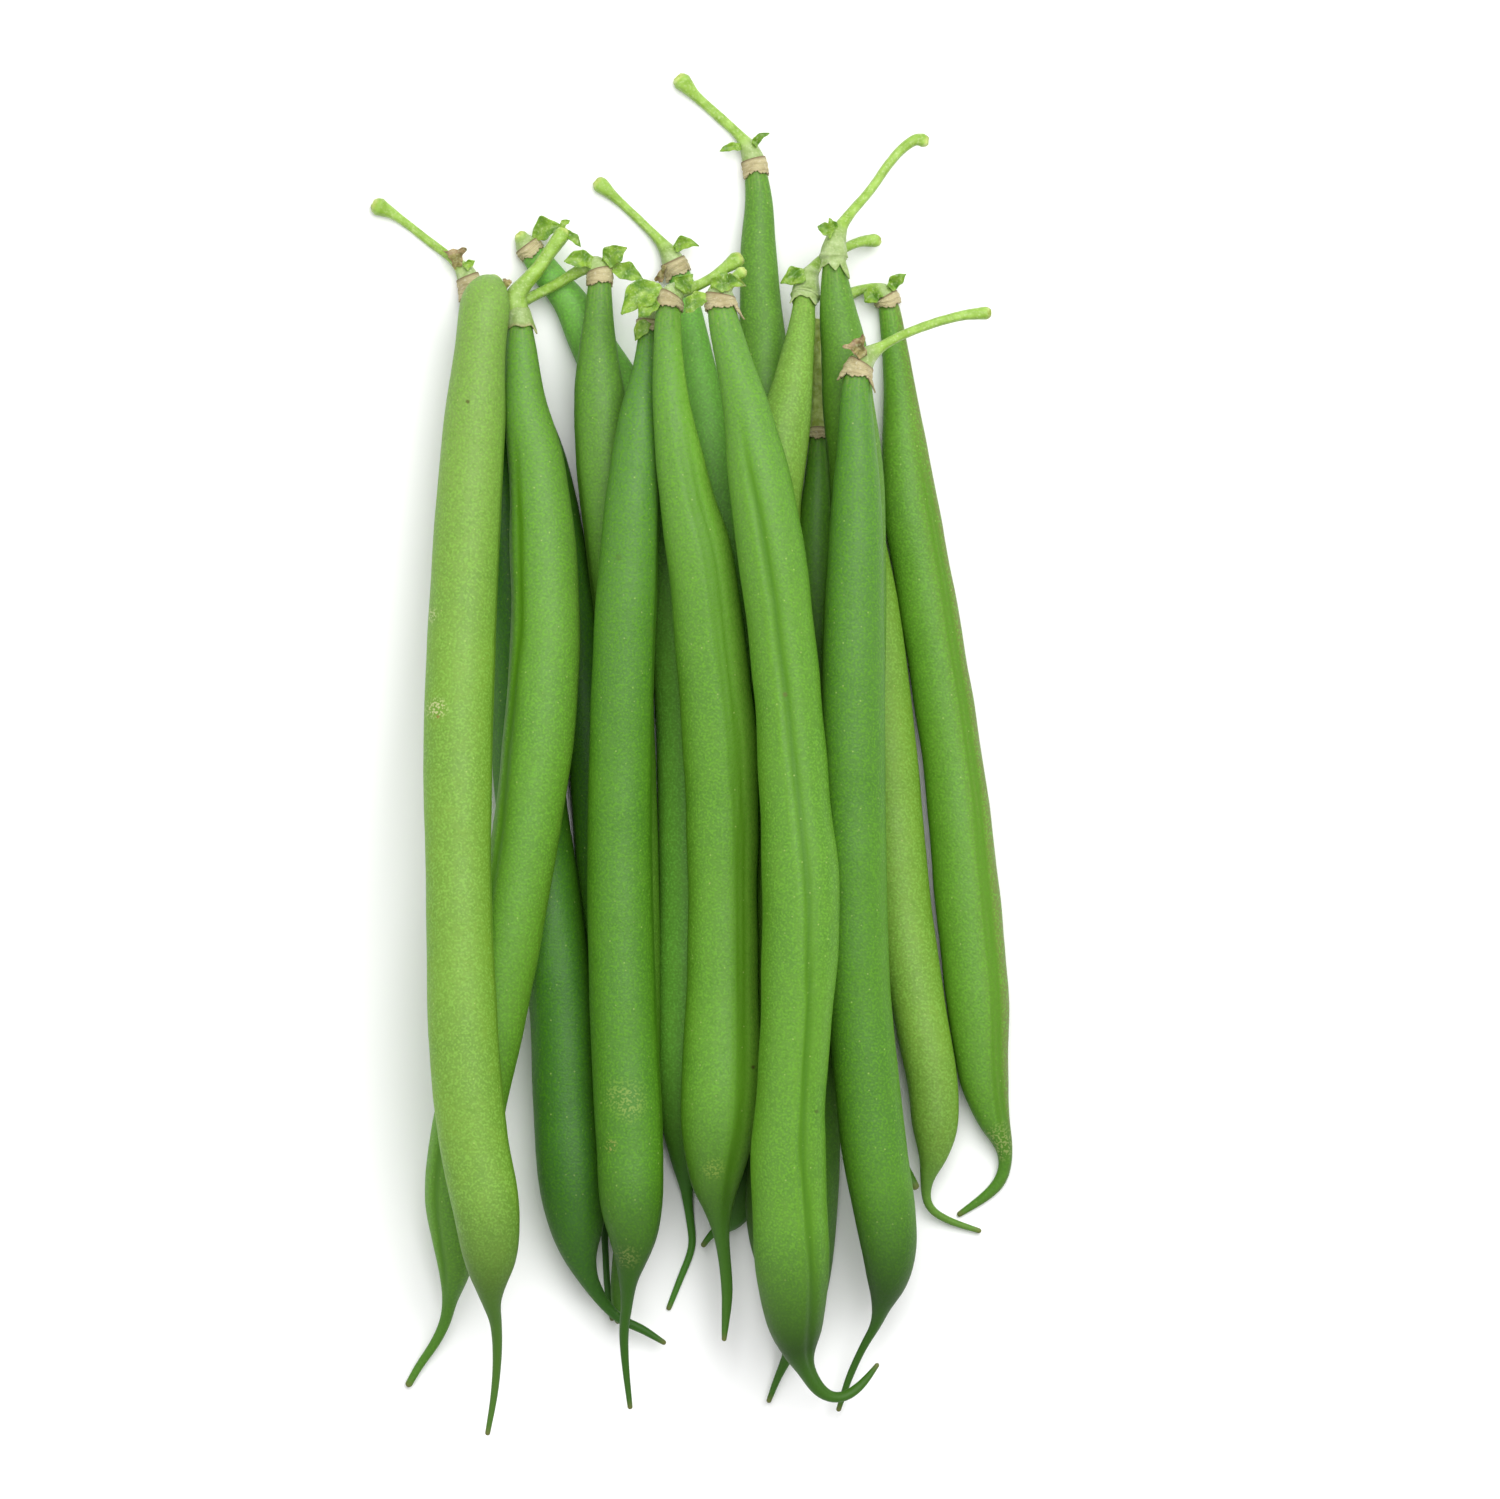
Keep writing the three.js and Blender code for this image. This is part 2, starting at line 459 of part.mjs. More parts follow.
// stations far enough apart for a pod's mesh: closer where it is thin, turns or tapers
function spaced(stations) {
  const kept = [stations[0]];
  for (const s of stations) {
    const last = kept[kept.length - 1];
    const far = s.length - last.length >= RING_SPACING[0] + RING_SPACING[1] * s.r;
    const turned = s.along.angleTo(last.along) > MAX_TURN;
    const tapered = Math.abs(s.r - last.r) > MAX_TAPER * last.r;
    if (far || turned || tapered) kept.push(s);
  }
  kept[kept.length - 1] = stations[stations.length - 1];
  return kept;
}

function makePod(stations, bean) {
  const section = podSection(bean.seam);
  return sweep(spaced(stations), () => section, POD_HEIGHT, [0, BEAK_BULGE]);
}

// the dry ring: a short plug between the cup and the neck, ragged towards the neck
function makeRing(stations, bean) {
  const ragged = (k) => 1 + RING_RAGGED * Math.sin(RAGGED_TURN * k + Number(bean.name));
  const section = (i) => evenSection(RING_SIDES).map(([angle], k) => (
    [angle, RING_FLARE * (i === 0 ? 1 : ragged(k))]));
  return sweep(every(stations, Math.ceil(stations.length / 2)), section, 1, [0, 0]);
}

// the neck, the ring and their clearance, which the stalk keeps out of
const cover = (neck) => neck.map((s) => ({ ...s, r: s.r * RING_FLARE + CLEARANCE }));

// one tooth of the cup: a flat blade that arches up from the cup, over the neck, and ends in a point
function makeLeaf([x0, y0, x1, y1, halfWidth, lift], z0, neck) {
  const top = (x, y) => Math.max(0, ...cover(neck).map((s) => (
    s.z + Math.sqrt(Math.max(0, s.r ** 2 - (x - s.x) ** 2 - (y - s.y) ** 2)))));
  const along = new THREE.Vector3(x1 - x0, y1 - y0, 0).normalize();
  const side = new THREE.Vector3(0, 0, 1).cross(along);
  const rings = LEAF_OUTLINE.map(([t, width]) => {
    const [x, y, z] = [x0 + (x1 - x0) * t, y0 + (y1 - y0) * t, z0 + lift * Math.sin(LEAF_ARCH * t)];
    const middle = new THREE.Vector3(x, y, z);
    return LEAF_EDGE.map(([wide, over]) => {
      const point = middle.clone().addScaledVector(side, wide * halfWidth * width);
      const draped = t === 0 ? 0 : top(point.x, point.y) + ((over + 1) * LEAF_THICKNESS) / 2;
      point.z = Math.max(point.z + (over * LEAF_THICKNESS) / 2, draped);
      return point;
    });
  });
  const [first, last] = [rings[0], rings[rings.length - 1]].map((ring) => (
    ring.reduce((sum, p) => sum.add(p), new THREE.Vector3()).divideScalar(ring.length)));
  return skin(rings, first, last);
}

// ---- joining and cutting ----

function solid(geometry) {
  const merged = mergeVertices(geometry, MERGE_DISTANCE);
  return new wasm.Manifold(new wasm.Mesh({
    numProp: 3,
    vertProperties: new Float32Array(merged.attributes.position.array),
    triVerts: new Uint32Array(merged.index.array),
  }));
}

function toGeometry(manifold) {
  const mesh = manifold.getMesh();
  return meshed(Array.from(mesh.vertProperties), Array.from(mesh.triVerts));
}

// the stalk with its cup and teeth, cut clear of the neck and the ring that they reach over
function makeStalk(stations, bean, neck) {
  const rim = stations[stations.length - 1];
  const [tube, room] = [evenSection(STALK_SIDES), evenSection(POD_SIDES)];
  let body = solid(sweep(every(stations, FINE_STEPS), () => tube, 1, [KNOB_BULGE, 0]));
  for (const leaf of bean.leaves) {
    body = body.add(solid(makeLeaf(leaf, rim.z, neck)));
  }
  body = body.subtract(solid(sweep(cover(neck), () => room, 1, [0, 0])));
  const pieces = body.decompose().sort((a, b) => b.volume() - a.volume());
  return toGeometry(pieces[0]);
}

// ---- the bundle ----

function paint(colour, roughness) {
  return new THREE.MeshStandardMaterial({ color: colour, roughness, metalness: 0 });
}

function add(name, geometry, material) {
  const mesh = new THREE.Mesh(geometry, material);
  mesh.name = name;
  bundle.add(mesh);
}

// the stations of a run that lie between two of its stations, with a clearance at each end
function between(stations, from, to) {
  const [start, end] = [stations[from].length + CLEARANCE, stations[to].length - CLEARANCE];
  return stations.filter((s) => s.length >= start && s.length <= end);
}

const bundle = new THREE.Group();
const heap = [];
for (const bean of BEANS) {
  const stations = walk([...bean.stalk, ...bean.pod]);
  lay(stations, heap);
  aim(stations);
  heap.push(...stations);

  // on beans without the dry ring, the cup reaches down to the neck
  const rim = (bean.stalk.length - 1) * FINE_STEPS;
  const neck = rim + FINE_STEPS;
  const seat = between(stations, rim, neck);
  const cup = bean.ring ? stations.slice(0, rim + 1) : [...stations.slice(0, rim + 1), ...seat];
  const covered = stations.slice(bean.ring ? rim + 1 : neck, neck + COVER_SPANS * FINE_STEPS);
  const stalk = makeStalk(cup, bean, every(covered, COVER_STEP));
  add(`pod_${bean.name}`, makePod(stations.slice(neck), bean), paint(COLOURS[bean.skin], 0.5));
  add(`stalk_${bean.name}`, stalk, paint(COLOURS.stalk, 0.6));
  if (bean.ring) add(`ring_${bean.name}`, makeRing(seat, bean), paint(COLOURS.ring, 0.9));
}

// the origin is on the table, under the middle of the bundle
const box = new THREE.Box3().setFromObject(bundle);
const middle = box.getCenter(new THREE.Vector3());
bundle.position.set(-middle.x, -middle.y, 0);

export default bundle;
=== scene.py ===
import math

import bmesh
import bpy
import numpy as np
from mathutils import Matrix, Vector


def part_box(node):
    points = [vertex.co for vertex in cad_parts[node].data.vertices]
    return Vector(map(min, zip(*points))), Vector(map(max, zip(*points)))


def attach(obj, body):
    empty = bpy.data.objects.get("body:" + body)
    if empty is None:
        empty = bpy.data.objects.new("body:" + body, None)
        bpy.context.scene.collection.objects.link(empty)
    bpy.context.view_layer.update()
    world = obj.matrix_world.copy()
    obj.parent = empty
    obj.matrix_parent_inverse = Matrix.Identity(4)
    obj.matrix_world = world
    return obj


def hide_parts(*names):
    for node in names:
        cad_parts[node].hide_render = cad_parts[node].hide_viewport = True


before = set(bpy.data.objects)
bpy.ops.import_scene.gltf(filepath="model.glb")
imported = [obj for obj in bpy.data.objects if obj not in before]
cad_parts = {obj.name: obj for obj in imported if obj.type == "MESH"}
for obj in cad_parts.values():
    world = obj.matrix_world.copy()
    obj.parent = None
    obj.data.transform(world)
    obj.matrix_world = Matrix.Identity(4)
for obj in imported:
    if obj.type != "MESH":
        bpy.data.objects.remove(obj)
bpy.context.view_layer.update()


# ---- Camera ----
# It looks straight down on the bundle from far off through a long lens, so that the beans on top
# of the heap show at nearly the same scale as those on the table.
CAMERA_HEIGHT = 3.0
VIEW_WIDTH = 0.198
VIEW_CENTRE = (0.0066, 0.0001)  # the middle of the view, in the beans' own coordinates
SENSOR_WIDTH = 36.0  # millimetres, as the lens is


def placed(name, data):
    """A new object in the scene, made from its data."""
    thing = bpy.data.objects.new(name, data)
    bpy.context.scene.collection.objects.link(thing)
    return thing


camera = placed("camera", bpy.data.cameras.new("camera"))
bpy.context.scene.camera = camera
camera.data.sensor_width = SENSOR_WIDTH
camera.data.lens = SENSOR_WIDTH * CAMERA_HEIGHT / VIEW_WIDTH
camera.data.clip_start, camera.data.clip_end = 0.1, 20.0


# ---- How the beans lie ----
# Seventeen beans dropped loosely together. They are laid one by one: each rests on the table or on
# the beans under it, and bends no more sharply than its thickness allows.
MM = 0.001
POD_HEIGHT = 0.92  # over its width
FLAT_DEPTH = 0.14  # millimetres that a bean on the table is pressed flat underneath
BEAN_GAP = 0.4  # millimetres between a bean and those that carry it
HUMP_RADIUS = 160.0  # millimetres: how sharply a bean bends over what carries it
SAG_RADIUS = 400.0  # the same where it hangs between two that carry it
FULL_RADIUS = 3.4  # millimetres: a thinner stretch bends more easily
MAX_LIMPNESS = 3.2  # but by no more than this factor
FINE_STEPS = 12  # stations from one given point to the next

# the beans in the order in which they come to lie: first what carries, then what it carries. Each
# has its stalk from the snapped end to the rim of the cup, then its pod from the neck to the tip of
# the beak, as [x, y, radius] in millimetres; a fourth number is how far it nods down there.
BEANS = {
    "17": (
        [[19.8, 60.2, 0.8], [21.4, 60.8, 0.6], [22.8, 60.9, 0.75], [24.0, 60.4, 1.35],
         [24.6, 59.6, 1.6]],
        [[25.0, 58.1, 1.45], [25.4, 55.2, 1.55], [26.22, 48.8, 1.97], [27.67, 33.0, 3.42],
         [29.92, 19.8, 3.67], [33.32, -1.3, 3.77], [35.12, -18.0, 4.12], [36.62, -33.0, 3.92],
         [37.42, -43.0, 3.12], [38.6, -48.2, 2.2], [40.1, -52.3, 1.15], [40.3, -54.6, 0.85],
         [39.6, -56.9, 0.85], [37.9, -58.7, 0.7], [34.3, -61.2, 0.4]]),
    "16": (
        [[18.2, 49.9, 0.8], [18.7, 47.8, 0.6], [19.1, 45.9, 1.1], [19.4, 44.6, 1.35]],
        [[19.5, 43.9, 1.3], [19.7, 38.9, 2.0], [20.4, 32.3, 2.7], [22.3, 19.8, 3.7],
         [24.75, -1.3, 3.85], [26.7, -21.4, 3.85], [28.9, -34.2, 3.5], [30.7, -44.2, 3.25],
         [31.0, -50.0, 2.9], [30.7, -53.6, 1.9], [30.0, -56.3, 0.95], [29.8, -58.8, 0.6],
         [30.3, -60.4, 0.55], [32.5, -61.9, 0.5], [36.8, -63.4, 0.35]]),
    "04": (
        [[-26.0, 56.0, 0.75], [-25.6, 54.4, 0.6], [-24.9, 52.9, 1.1], [-24.3, 51.7, 1.35]],
        [[-24.0, 51.0, 1.3], [-22.4, 45.1, 2.0], [-20.8, 38.9, 2.7], [-19.4, 31.7, 3.1],
         [-17.9, 22.4, 3.2], [-16.2, 13.2, 3.0], [-14.6, 1.3, 2.9], [-13.1, -18.5, 2.85],
         [-12.5, -38.3, 2.5], [-12.4, -50.5, 2.2], [-12.5, -58.1, 1.3], [-12.6, -63.5, 0.5],
         [-12.4, -68.0, 0.45], [-12.2, -71.3, 0.45], [-11.6, -75.0, 0.35]]),
    "05": (
        [[-23.5, 67.5, 1.0], [-23.3, 67.2, 1.25], [-23.0, 66.8, 1.5], [-22.7, 66.4, 1.65]],
        [[-22.0, 65.5, 1.6], [-20.6, 63.5, 1.8], [-18.2, 60.6, 1.95], [-16.9, 58.9, 2.15],
         [-14.7, 54.4, 2.55], [-9.5, 44.6, 3.3], [-4.8, 30.4, 3.75], [-1.9, 9.0, 3.9],
         [-1.3, -18.0, 3.9], [-1.7, -38.5, 3.75], [-2.0, -48.5, 3.0], [-2.0, -54.0, 1.8],
         [-1.75, -58.1, 0.8], [-1.3, -62.0, 0.55], [-1.0, -65.3, 0.5], [-2.7, -70.0, 0.45],
         [-4.1, -73.6, 0.35]]),
    "09": (
        [[-13.1, 74.6, 1.05], [-11.1, 72.85, 0.6], [-8.15, 70.1, 0.55], [-5.55, 67.5, 0.65],
         [-4.2, 65.7, 1.15], [-3.5, 64.3, 1.6]],
        [[-2.6, 62.5, 1.5], [-1.6, 58.1, 1.7], [-0.6, 51.5, 2.25], [0.2, 46.2, 2.8], [1.1, 40.9, 3.15],
         [2.9, 31.5, 3.6], [5.2, 16.5, 3.2], [6.3, -5.0, 3.1], [6.3, -30.0, 3.1], [5.9, -49.5, 3.2],
         [5.1, -57.5, 2.95], [4.3, -61.4, 1.9], [3.0, -62.9, 1.0], [1.7, -63.6, 0.5],
         [0.5, -65.2, 0.4]]),
    "13": (
        [[15.6, 56.1, 0.95], [15.4, 54.4, 0.7], [15.4, 49.5, 0.7], [15.5, 45.4, 0.8],
         [15.6, 43.4, 1.15], [15.6, 41.9, 1.35]],
        [[15.6, 40.2, 1.3], [15.6, 36.3, 1.65], [15.4, 30.4, 2.3], [15.4, 19.8, 3.0], [15.6, 4.0, 3.1],
         [15.4, -16.0, 3.2], [14.9, -36.0, 3.5], [14.3, -51.5, 4.1], [14.1, -60.7, 3.95],
         [13.9, -67.6, 3.5], [13.6, -73.3, 2.6], [12.7, -77.2, 1.55], [11.6, -79.9, 0.8],
         [10.2, -82.9, 0.5], [9.1, -85.8, 0.35]]),
    "06": (
        [[-23.2, 59.3, 0.8], [-21.5, 60.1, 0.7], [-18.9, 61.4, 0.7], [-16.9, 62.6, 0.75],
         [-15.0, 63.6, 0.9], [-13.7, 63.9, 1.35], [-13.2, 62.8, 1.6]],
        [[-13.2, 61.1, 1.55], [-13.3, 57.4, 1.8], [-13.4, 53.5, 2.3], [-13.2, 46.9, 3.1],
         [-12.4, 38.3, 3.7], [-11.2, 29.0, 3.9], [-9.9, 13.2, 3.3], [-8.8, -8.0, 3.0],
         [-8.3, -33.0, 2.9], [-8.6, -52.8, 2.7], [-9.6, -62.7, 1.5], [-10.6, -68.8, 1.15],
         [-11.0, -72.6, 0.8], [-10.8, -75.2, 0.5]]),
    "11": (
        [[-2.3, 88.2, 1.2], [-0.7, 86.5, 0.7], [2.8, 83.35, 0.65], [5.3, 81.0, 0.7], [6.5, 79.3, 1.2],
         [7.1, 77.6, 1.55]],
        [[7.4, 75.9, 1.5], [7.8, 71.9, 1.8], [7.7, 67.3, 2.2], [7.9, 60.7, 2.55], [8.5, 50.5, 3.2],
         [9.1, 38.0, 3.4], [9.7, 20.0, 3.1], [10.3, -10.0, 3.0], [10.3, -34.0, 3.0], [9.6, -52.0, 3.0],
         [8.5, -60.8, 2.5], [7.9, -65.1, 1.3], [8.1, -67.8, 0.65], [8.7, -70.6, 0.4]]),
    "12": (
        [[23.1, 67.25, 0.9, 7.0], [21.1, 67.05, 0.65, 6.1], [18.5, 65.9, 0.6, 5.0],
         [16.2, 64.75, 0.65, 4.1], [15.0, 63.4, 0.9, 3.4], [14.2, 61.9, 1.55, 2.9],
         [13.9, 59.8, 1.85, 2.4]],
        [[13.8, 59.3, 1.5, 2.2], [13.4, 55.4, 1.75, 1.4], [12.7, 51.2, 2.2, 0.7],
         [11.8, 45.9, 2.85, 0.1], [10.7, 40.5, 3.5], [9.6, 31.0, 3.5], [10.6, 20.0, 3.1],
         [12.4, 8.0, 2.9], [14.0, -6.0, 2.9], [14.4, -24.0, 2.8], [14.4, -38.0, 2.4],
         [14.3, -45.0, 1.6], [14.2, -50.0, 0.85], [14.4, -54.6, 0.45]]),
    "14": (
        [[29.4, 80.4, 0.9], [28.5, 80.5, 0.75], [26.8, 79.4, 0.65], [25.0, 77.4, 0.6],
         [22.4, 73.7, 0.6], [20.05, 70.95, 0.65], [18.7, 69.1, 0.85], [17.85, 66.9, 1.45],
         [17.6, 65.0, 1.8]],
        [[17.6, 64.5, 1.45], [17.8, 61.4, 1.85], [18.2, 57.4, 2.4], [19.0, 52.1, 2.95],
         [19.5, 45.5, 3.25], [20.5, 37.0, 3.5], [21.2, 17.2, 3.2], [20.9, -4.0, 3.1],
         [21.3, -26.0, 3.0], [22.6, -38.5, 2.4], [24.0, -46.2, 1.6], [25.3, -51.9, 1.05],
         [26.8, -55.4, 1.0], [28.3, -57.4, 0.6]]),
    "15": (
        [[37.6, 57.45, 0.85], [34.6, 57.15, 0.65], [30.4, 56.0, 0.6], [26.4, 54.4, 0.6],
         [23.9, 53.0, 0.7], [22.0, 51.7, 1.35], [21.1, 50.5, 1.7]],
        [[20.6, 48.8, 1.75], [20.5, 44.9, 2.1], [20.6, 38.3, 2.65], [20.5, 29.5, 3.4],
         [20.2, 17.2, 3.9], [20.1, 6.6, 4.1], [20.2, -10.0, 4.15], [20.5, -26.4, 4.2],
         [21.3, -37.0, 4.1], [23.0, -52.8, 4.2], [24.4, -61.2, 3.9], [24.9, -66.0, 3.45],
         [24.6, -70.0, 2.6], [23.9, -73.1, 1.35], [23.2, -75.6, 0.75], [21.7, -78.3, 0.55],
         [19.8, -82.4, 0.5], [18.3, -86.9, 0.35]]),
    "01": (
        [[-42.3, 71.7, 1.2], [-40.4, 70.7, 0.65], [-35.45, 66.95, 0.55], [-32.4, 64.6, 0.65],
         [-31.1, 63.2, 1.2], [-30.6, 62.2, 1.45]],
        [[-30.2, 60.2, 1.4], [-29.4, 53.5, 2.25], [-28.4, 46.2, 2.8], [-26.1, 30.4, 3.2],
         [-24.1, 14.5, 3.6], [-22.3, -6.6, 4.4], [-18.2, -33.0, 4.1], [-17.6, -46.2, 4.15],
         [-16.8, -56.8, 4.15], [-16.3, -62.0, 3.5], [-15.9, -66.0, 2.35], [-14.7, -69.6, 1.3],
         [-12.8, -72.7, 0.85], [-10.6, -75.0, 0.65], [-7.9, -76.2, 0.6], [-4.8, -78.1, 0.35]]),
    "03": (
        [[-18.1, 68.0, 1.05], [-19.9, 65.5, 0.9], [-21.6, 63.1, 0.95], [-23.2, 61.3, 1.1],
         [-24.2, 59.9, 1.4], [-24.1, 57.8, 1.6]],
        [[-23.8, 57.1, 1.45], [-23.6, 53.5, 1.95], [-23.1, 46.2, 2.65], [-21.6, 38.3, 3.45],
         [-20.7, 27.7, 4.15], [-20.3, 15.8, 4.4], [-21.1, 2.6, 4.5], [-23.2, -13.2, 4.2],
         [-26.9, -33.0, 4.3], [-31.0, -51.5, 4.35], [-31.9, -58.7, 4.2], [-32.2, -64.7, 2.9],
         [-32.3, -68.6, 2.05], [-33.0, -72.6, 0.95], [-33.55, -75.2, 0.75], [-34.9, -78.1, 0.65],
         [-37.1, -81.3, 0.55], [-38.4, -83.6, 0.5]]),
    "02": (
        [[-27.0, 61.7, 0.7, 11.0], [-27.1, 61.6, 0.6, 9.8], [-27.2, 61.5, 1.1, 8.8],
         [-27.3, 61.4, 1.4, 7.8]],
        [[-27.4, 61.2, 1.3, 7.0], [-27.6, 60.8, 1.9, 5.4], [-27.8, 60.4, 2.7, 3.6],
         [-28.1, 59.6, 3.1, 1.8], [-28.3, 58.2, 3.2, 0.5], [-28.8, 53.6, 3.2], [-29.6, 43.6, 3.9],
         [-30.8, 25.1, 4.3], [-31.7, 1.3, 4.45], [-31.6, -17.2, 4.2], [-30.9, -38.3, 4.5],
         [-29.6, -51.5, 4.4], [-28.1, -59.4, 4.3], [-27.5, -66.0, 3.55], [-27.5, -68.9, 2.65],
         [-27.3, -72.6, 1.25], [-26.8, -74.9, 0.85], [-26.6, -78.9, 0.65], [-27.0, -84.5, 0.5],
         [-27.9, -89.8, 0.35]]),
    "07": (
        [[-6.4, 61.0, 0.75], [-6.6, 59.9, 0.6], [-6.8, 57.8, 1.1], [-6.9, 56.2, 1.35]],
        [[-6.9, 54.2, 1.25], [-7.1, 51.2, 1.5], [-7.3, 48.8, 1.85], [-7.9, 43.6, 2.65],
         [-8.7, 34.5, 3.35], [-9.5, 22.0, 3.85], [-10.2, 6.6, 4.0], [-10.5, -13.2, 4.15],
         [-10.1, -33.0, 4.3], [-9.2, -51.5, 4.3], [-9.0, -59.4, 4.0], [-8.8, -63.1, 3.3],
         [-9.0, -66.5, 2.3], [-9.4, -69.8, 1.25], [-9.6, -72.9, 0.8], [-10.0, -76.6, 0.65],
         [-9.8, -81.0, 0.5], [-9.2, -86.5, 0.35]]),
    "08": (
        [[4.8, 64.4, 1.1], [3.1, 63.2, 0.7], [0.8, 61.6, 0.65], [-1.2, 60.7, 0.8], [-2.9, 60.3, 1.35],
         [-3.8, 59.3, 1.75]],
        [[-4.1, 57.5, 1.7], [-4.2, 53.5, 1.8], [-3.8, 46.2, 2.3], [-3.0, 40.3, 2.8],
         [-1.7, 33.0, 3.45], [0.1, 25.1, 4.15], [1.3, 14.5, 4.4], [2.7, -0.5, 4.75],
         [3.0, -20.0, 4.35], [2.9, -35.6, 4.7], [2.7, -43.6, 5.0], [2.4, -49.5, 4.7],
         [2.1, -56.8, 3.15], [2.4, -59.8, 2.0], [2.8, -63.4, 1.1], [3.2, -66.5, 0.85],
         [3.6, -71.3, 0.75], [3.4, -75.0, 0.55], [3.2, -77.5, 0.35]]),
    "10": (
        [[5.4, 62.6, 0.8], [4.6, 61.9, 0.65], [3.2, 60.9, 1.4], [2.7, 59.4, 1.9]],
        [[2.9, 57.4, 1.9], [3.7, 53.9, 2.1], [4.8, 49.8, 2.4], [6.1, 44.9, 2.9], [7.3, 38.5, 3.55],
         [8.7, 30.4, 4.2], [10.2, 19.8, 4.2], [11.6, 6.6, 4.2], [12.4, -5.3, 4.4], [13.3, -19.0, 4.9],
         [12.7, -34.3, 4.55], [12.1, -43.6, 4.35], [11.6, -52.8, 4.7], [11.9, -62.0, 4.8],
         [12.2, -68.6, 4.6], [12.4, -73.3, 4.0], [12.7, -76.6, 3.15], [13.1, -79.1, 2.1],
         [13.9, -81.2, 1.25], [15.8, -84.2, 0.95], [17.7, -85.2, 0.7], [19.5, -84.8, 0.7],
         [21.4, -83.3, 0.6], [23.3, -80.9, 0.35]]),
}


def cubic(a, b, start, end, t):
    """Share t of the way from a to b, on a cubic that leaves and arrives at the given slopes."""
    return a + start * t + (3 * (b - a) - 2 * start - end) * t**2 + (2 * (a - b) + start + end) * t**3


def through(points, t, span):
    """A place along a centripetal run through points, at share t of the span that starts at span."""
    before = points[span - 1] if span > 0 else 2 * points[0] - points[1]
    a, b = points[span], points[span + 1]
    after = points[span + 2] if span + 2 < len(points) else 2 * points[-1] - points[-2]
    d0, d1, d2 = (math.sqrt(np.linalg.norm(q - p)) for p, q in ((before, a), (a, b), (b, after)))
    start = ((a - before) / d0 - (b - before) / (d0 + d1) + (b - a) / d1) * d1
    end = ((b - a) / d1 - (after - a) / (d1 + d2) + (after - b) / d2) * d1
    return cubic(a, b, start, end, t)


def nodding(nods, t, span):
    """How far a bean nods at share t of a span: an even run through the nods at its points."""
    last = len(nods) - 1
    before, a, b, after = (nods[min(max(span + i, 0), last)] for i in (-1, 0, 1, 2))
    return cubic(a, b, (b - before) / 2, (after - a) / 2, t)


def summed(values):
    return np.concatenate([[0.0], np.cumsum(values)])


def lie(points, heap):
    """x, y, z, radius along a bean that lies on the table and the heap, and bends as a bean can."""
    places = np.array([p[:3] for p in points])
    nods = [p[3] if len(p) > 3 else 0.0 for p in points]
    steps = [(i, k / FINE_STEPS) for i in range(len(points) - 1) for k in range(FINE_STEPS)]
    steps.append((len(points) - 2, 1.0))
    x, y, r = np.array([through(places, t, i) for i, t in steps]).T
    nod = np.array([max(0.0, nodding(nods, t, i)) for i, t in steps])

    lengths = np.hypot(np.diff(x), np.diff(y))
    run = summed(lengths)
    bend = summed(lengths * np.clip(FULL_RADIUS / r[1:], 1, MAX_LIMPNESS))
    held = r * POD_HEIGHT - FLAT_DEPTH
    if len(heap):
        hx, hy, hz, hr = heap.T[:, None, :]
        reach = r[:, None] + hr + BEAN_GAP
        room = reach**2 - (x[:, None] - hx) ** 2 - (y[:, None] - hy) ** 2
        over = np.where(room > 0, hz + POD_HEIGHT * np.sqrt(np.maximum(room, 0)), 0)
        held = np.maximum(held, over.max(axis=1))

    # it fills no hollow and rounds no hump more sharply than it can bend
    bow = (bend[:, None] - bend) ** 2 / 2
    filled = (held - bow / SAG_RADIUS).max(axis=1)
    bridged = (filled + bow / SAG_RADIUS).min(axis=1)
    arched = (bridged - bow / HUMP_RADIUS).max(axis=1)

    # then it comes down and tips until it rests on either side of its middle
    slack, middle = arched - held, run[-1] / 2
    near, far = np.flatnonzero(run <= middle), np.flatnonzero(run > middle)
    slope = (slack[far] - slack[near, None]) / (run[far] - run[near, None])
    drop = slack[near, None] + slope * (middle - run[near, None])
    best = np.unravel_index(np.argmin(drop), drop.shape)
    z = np.maximum(held, arched - drop[best] - slope[best] * (run - middle) - nod)
    return np.column_stack([x, y, z, r])


heap = np.empty((0, 4))
beans = {}
for name, (stalk, pod) in BEANS.items():
    course = lie(stalk + pod, heap)
    heap = np.vstack([heap, course])
    rim = (len(stalk) - 1) * FINE_STEPS
    beans[name] = {"course": course, "rim": rim, "neck": rim + FINE_STEPS}

# the bundle's own box is centred on the frame's origin: every pod's box tells by how much
offsets = []
for name, bean in beans.items():
    x, y, _, r = bean["course"][bean["neck"]:].T
    low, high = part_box(f"pod_{name}")
    offsets.append([(low[0] + high[0]) / 2 - ((x - r).min() + (x + r).max()) / 2 * MM,
                    (low[1] + high[1]) / 2 - (y.min() + y.max()) / 2 * MM])
shift = np.median(offsets, axis=0)
camera.location = (VIEW_CENTRE[0] + shift[0], VIEW_CENTRE[1] + shift[1], CAMERA_HEIGHT)
for bean in beans.values():
    bean["course"] = bean["course"] * MM + [shift[0], shift[1], 0, 0]


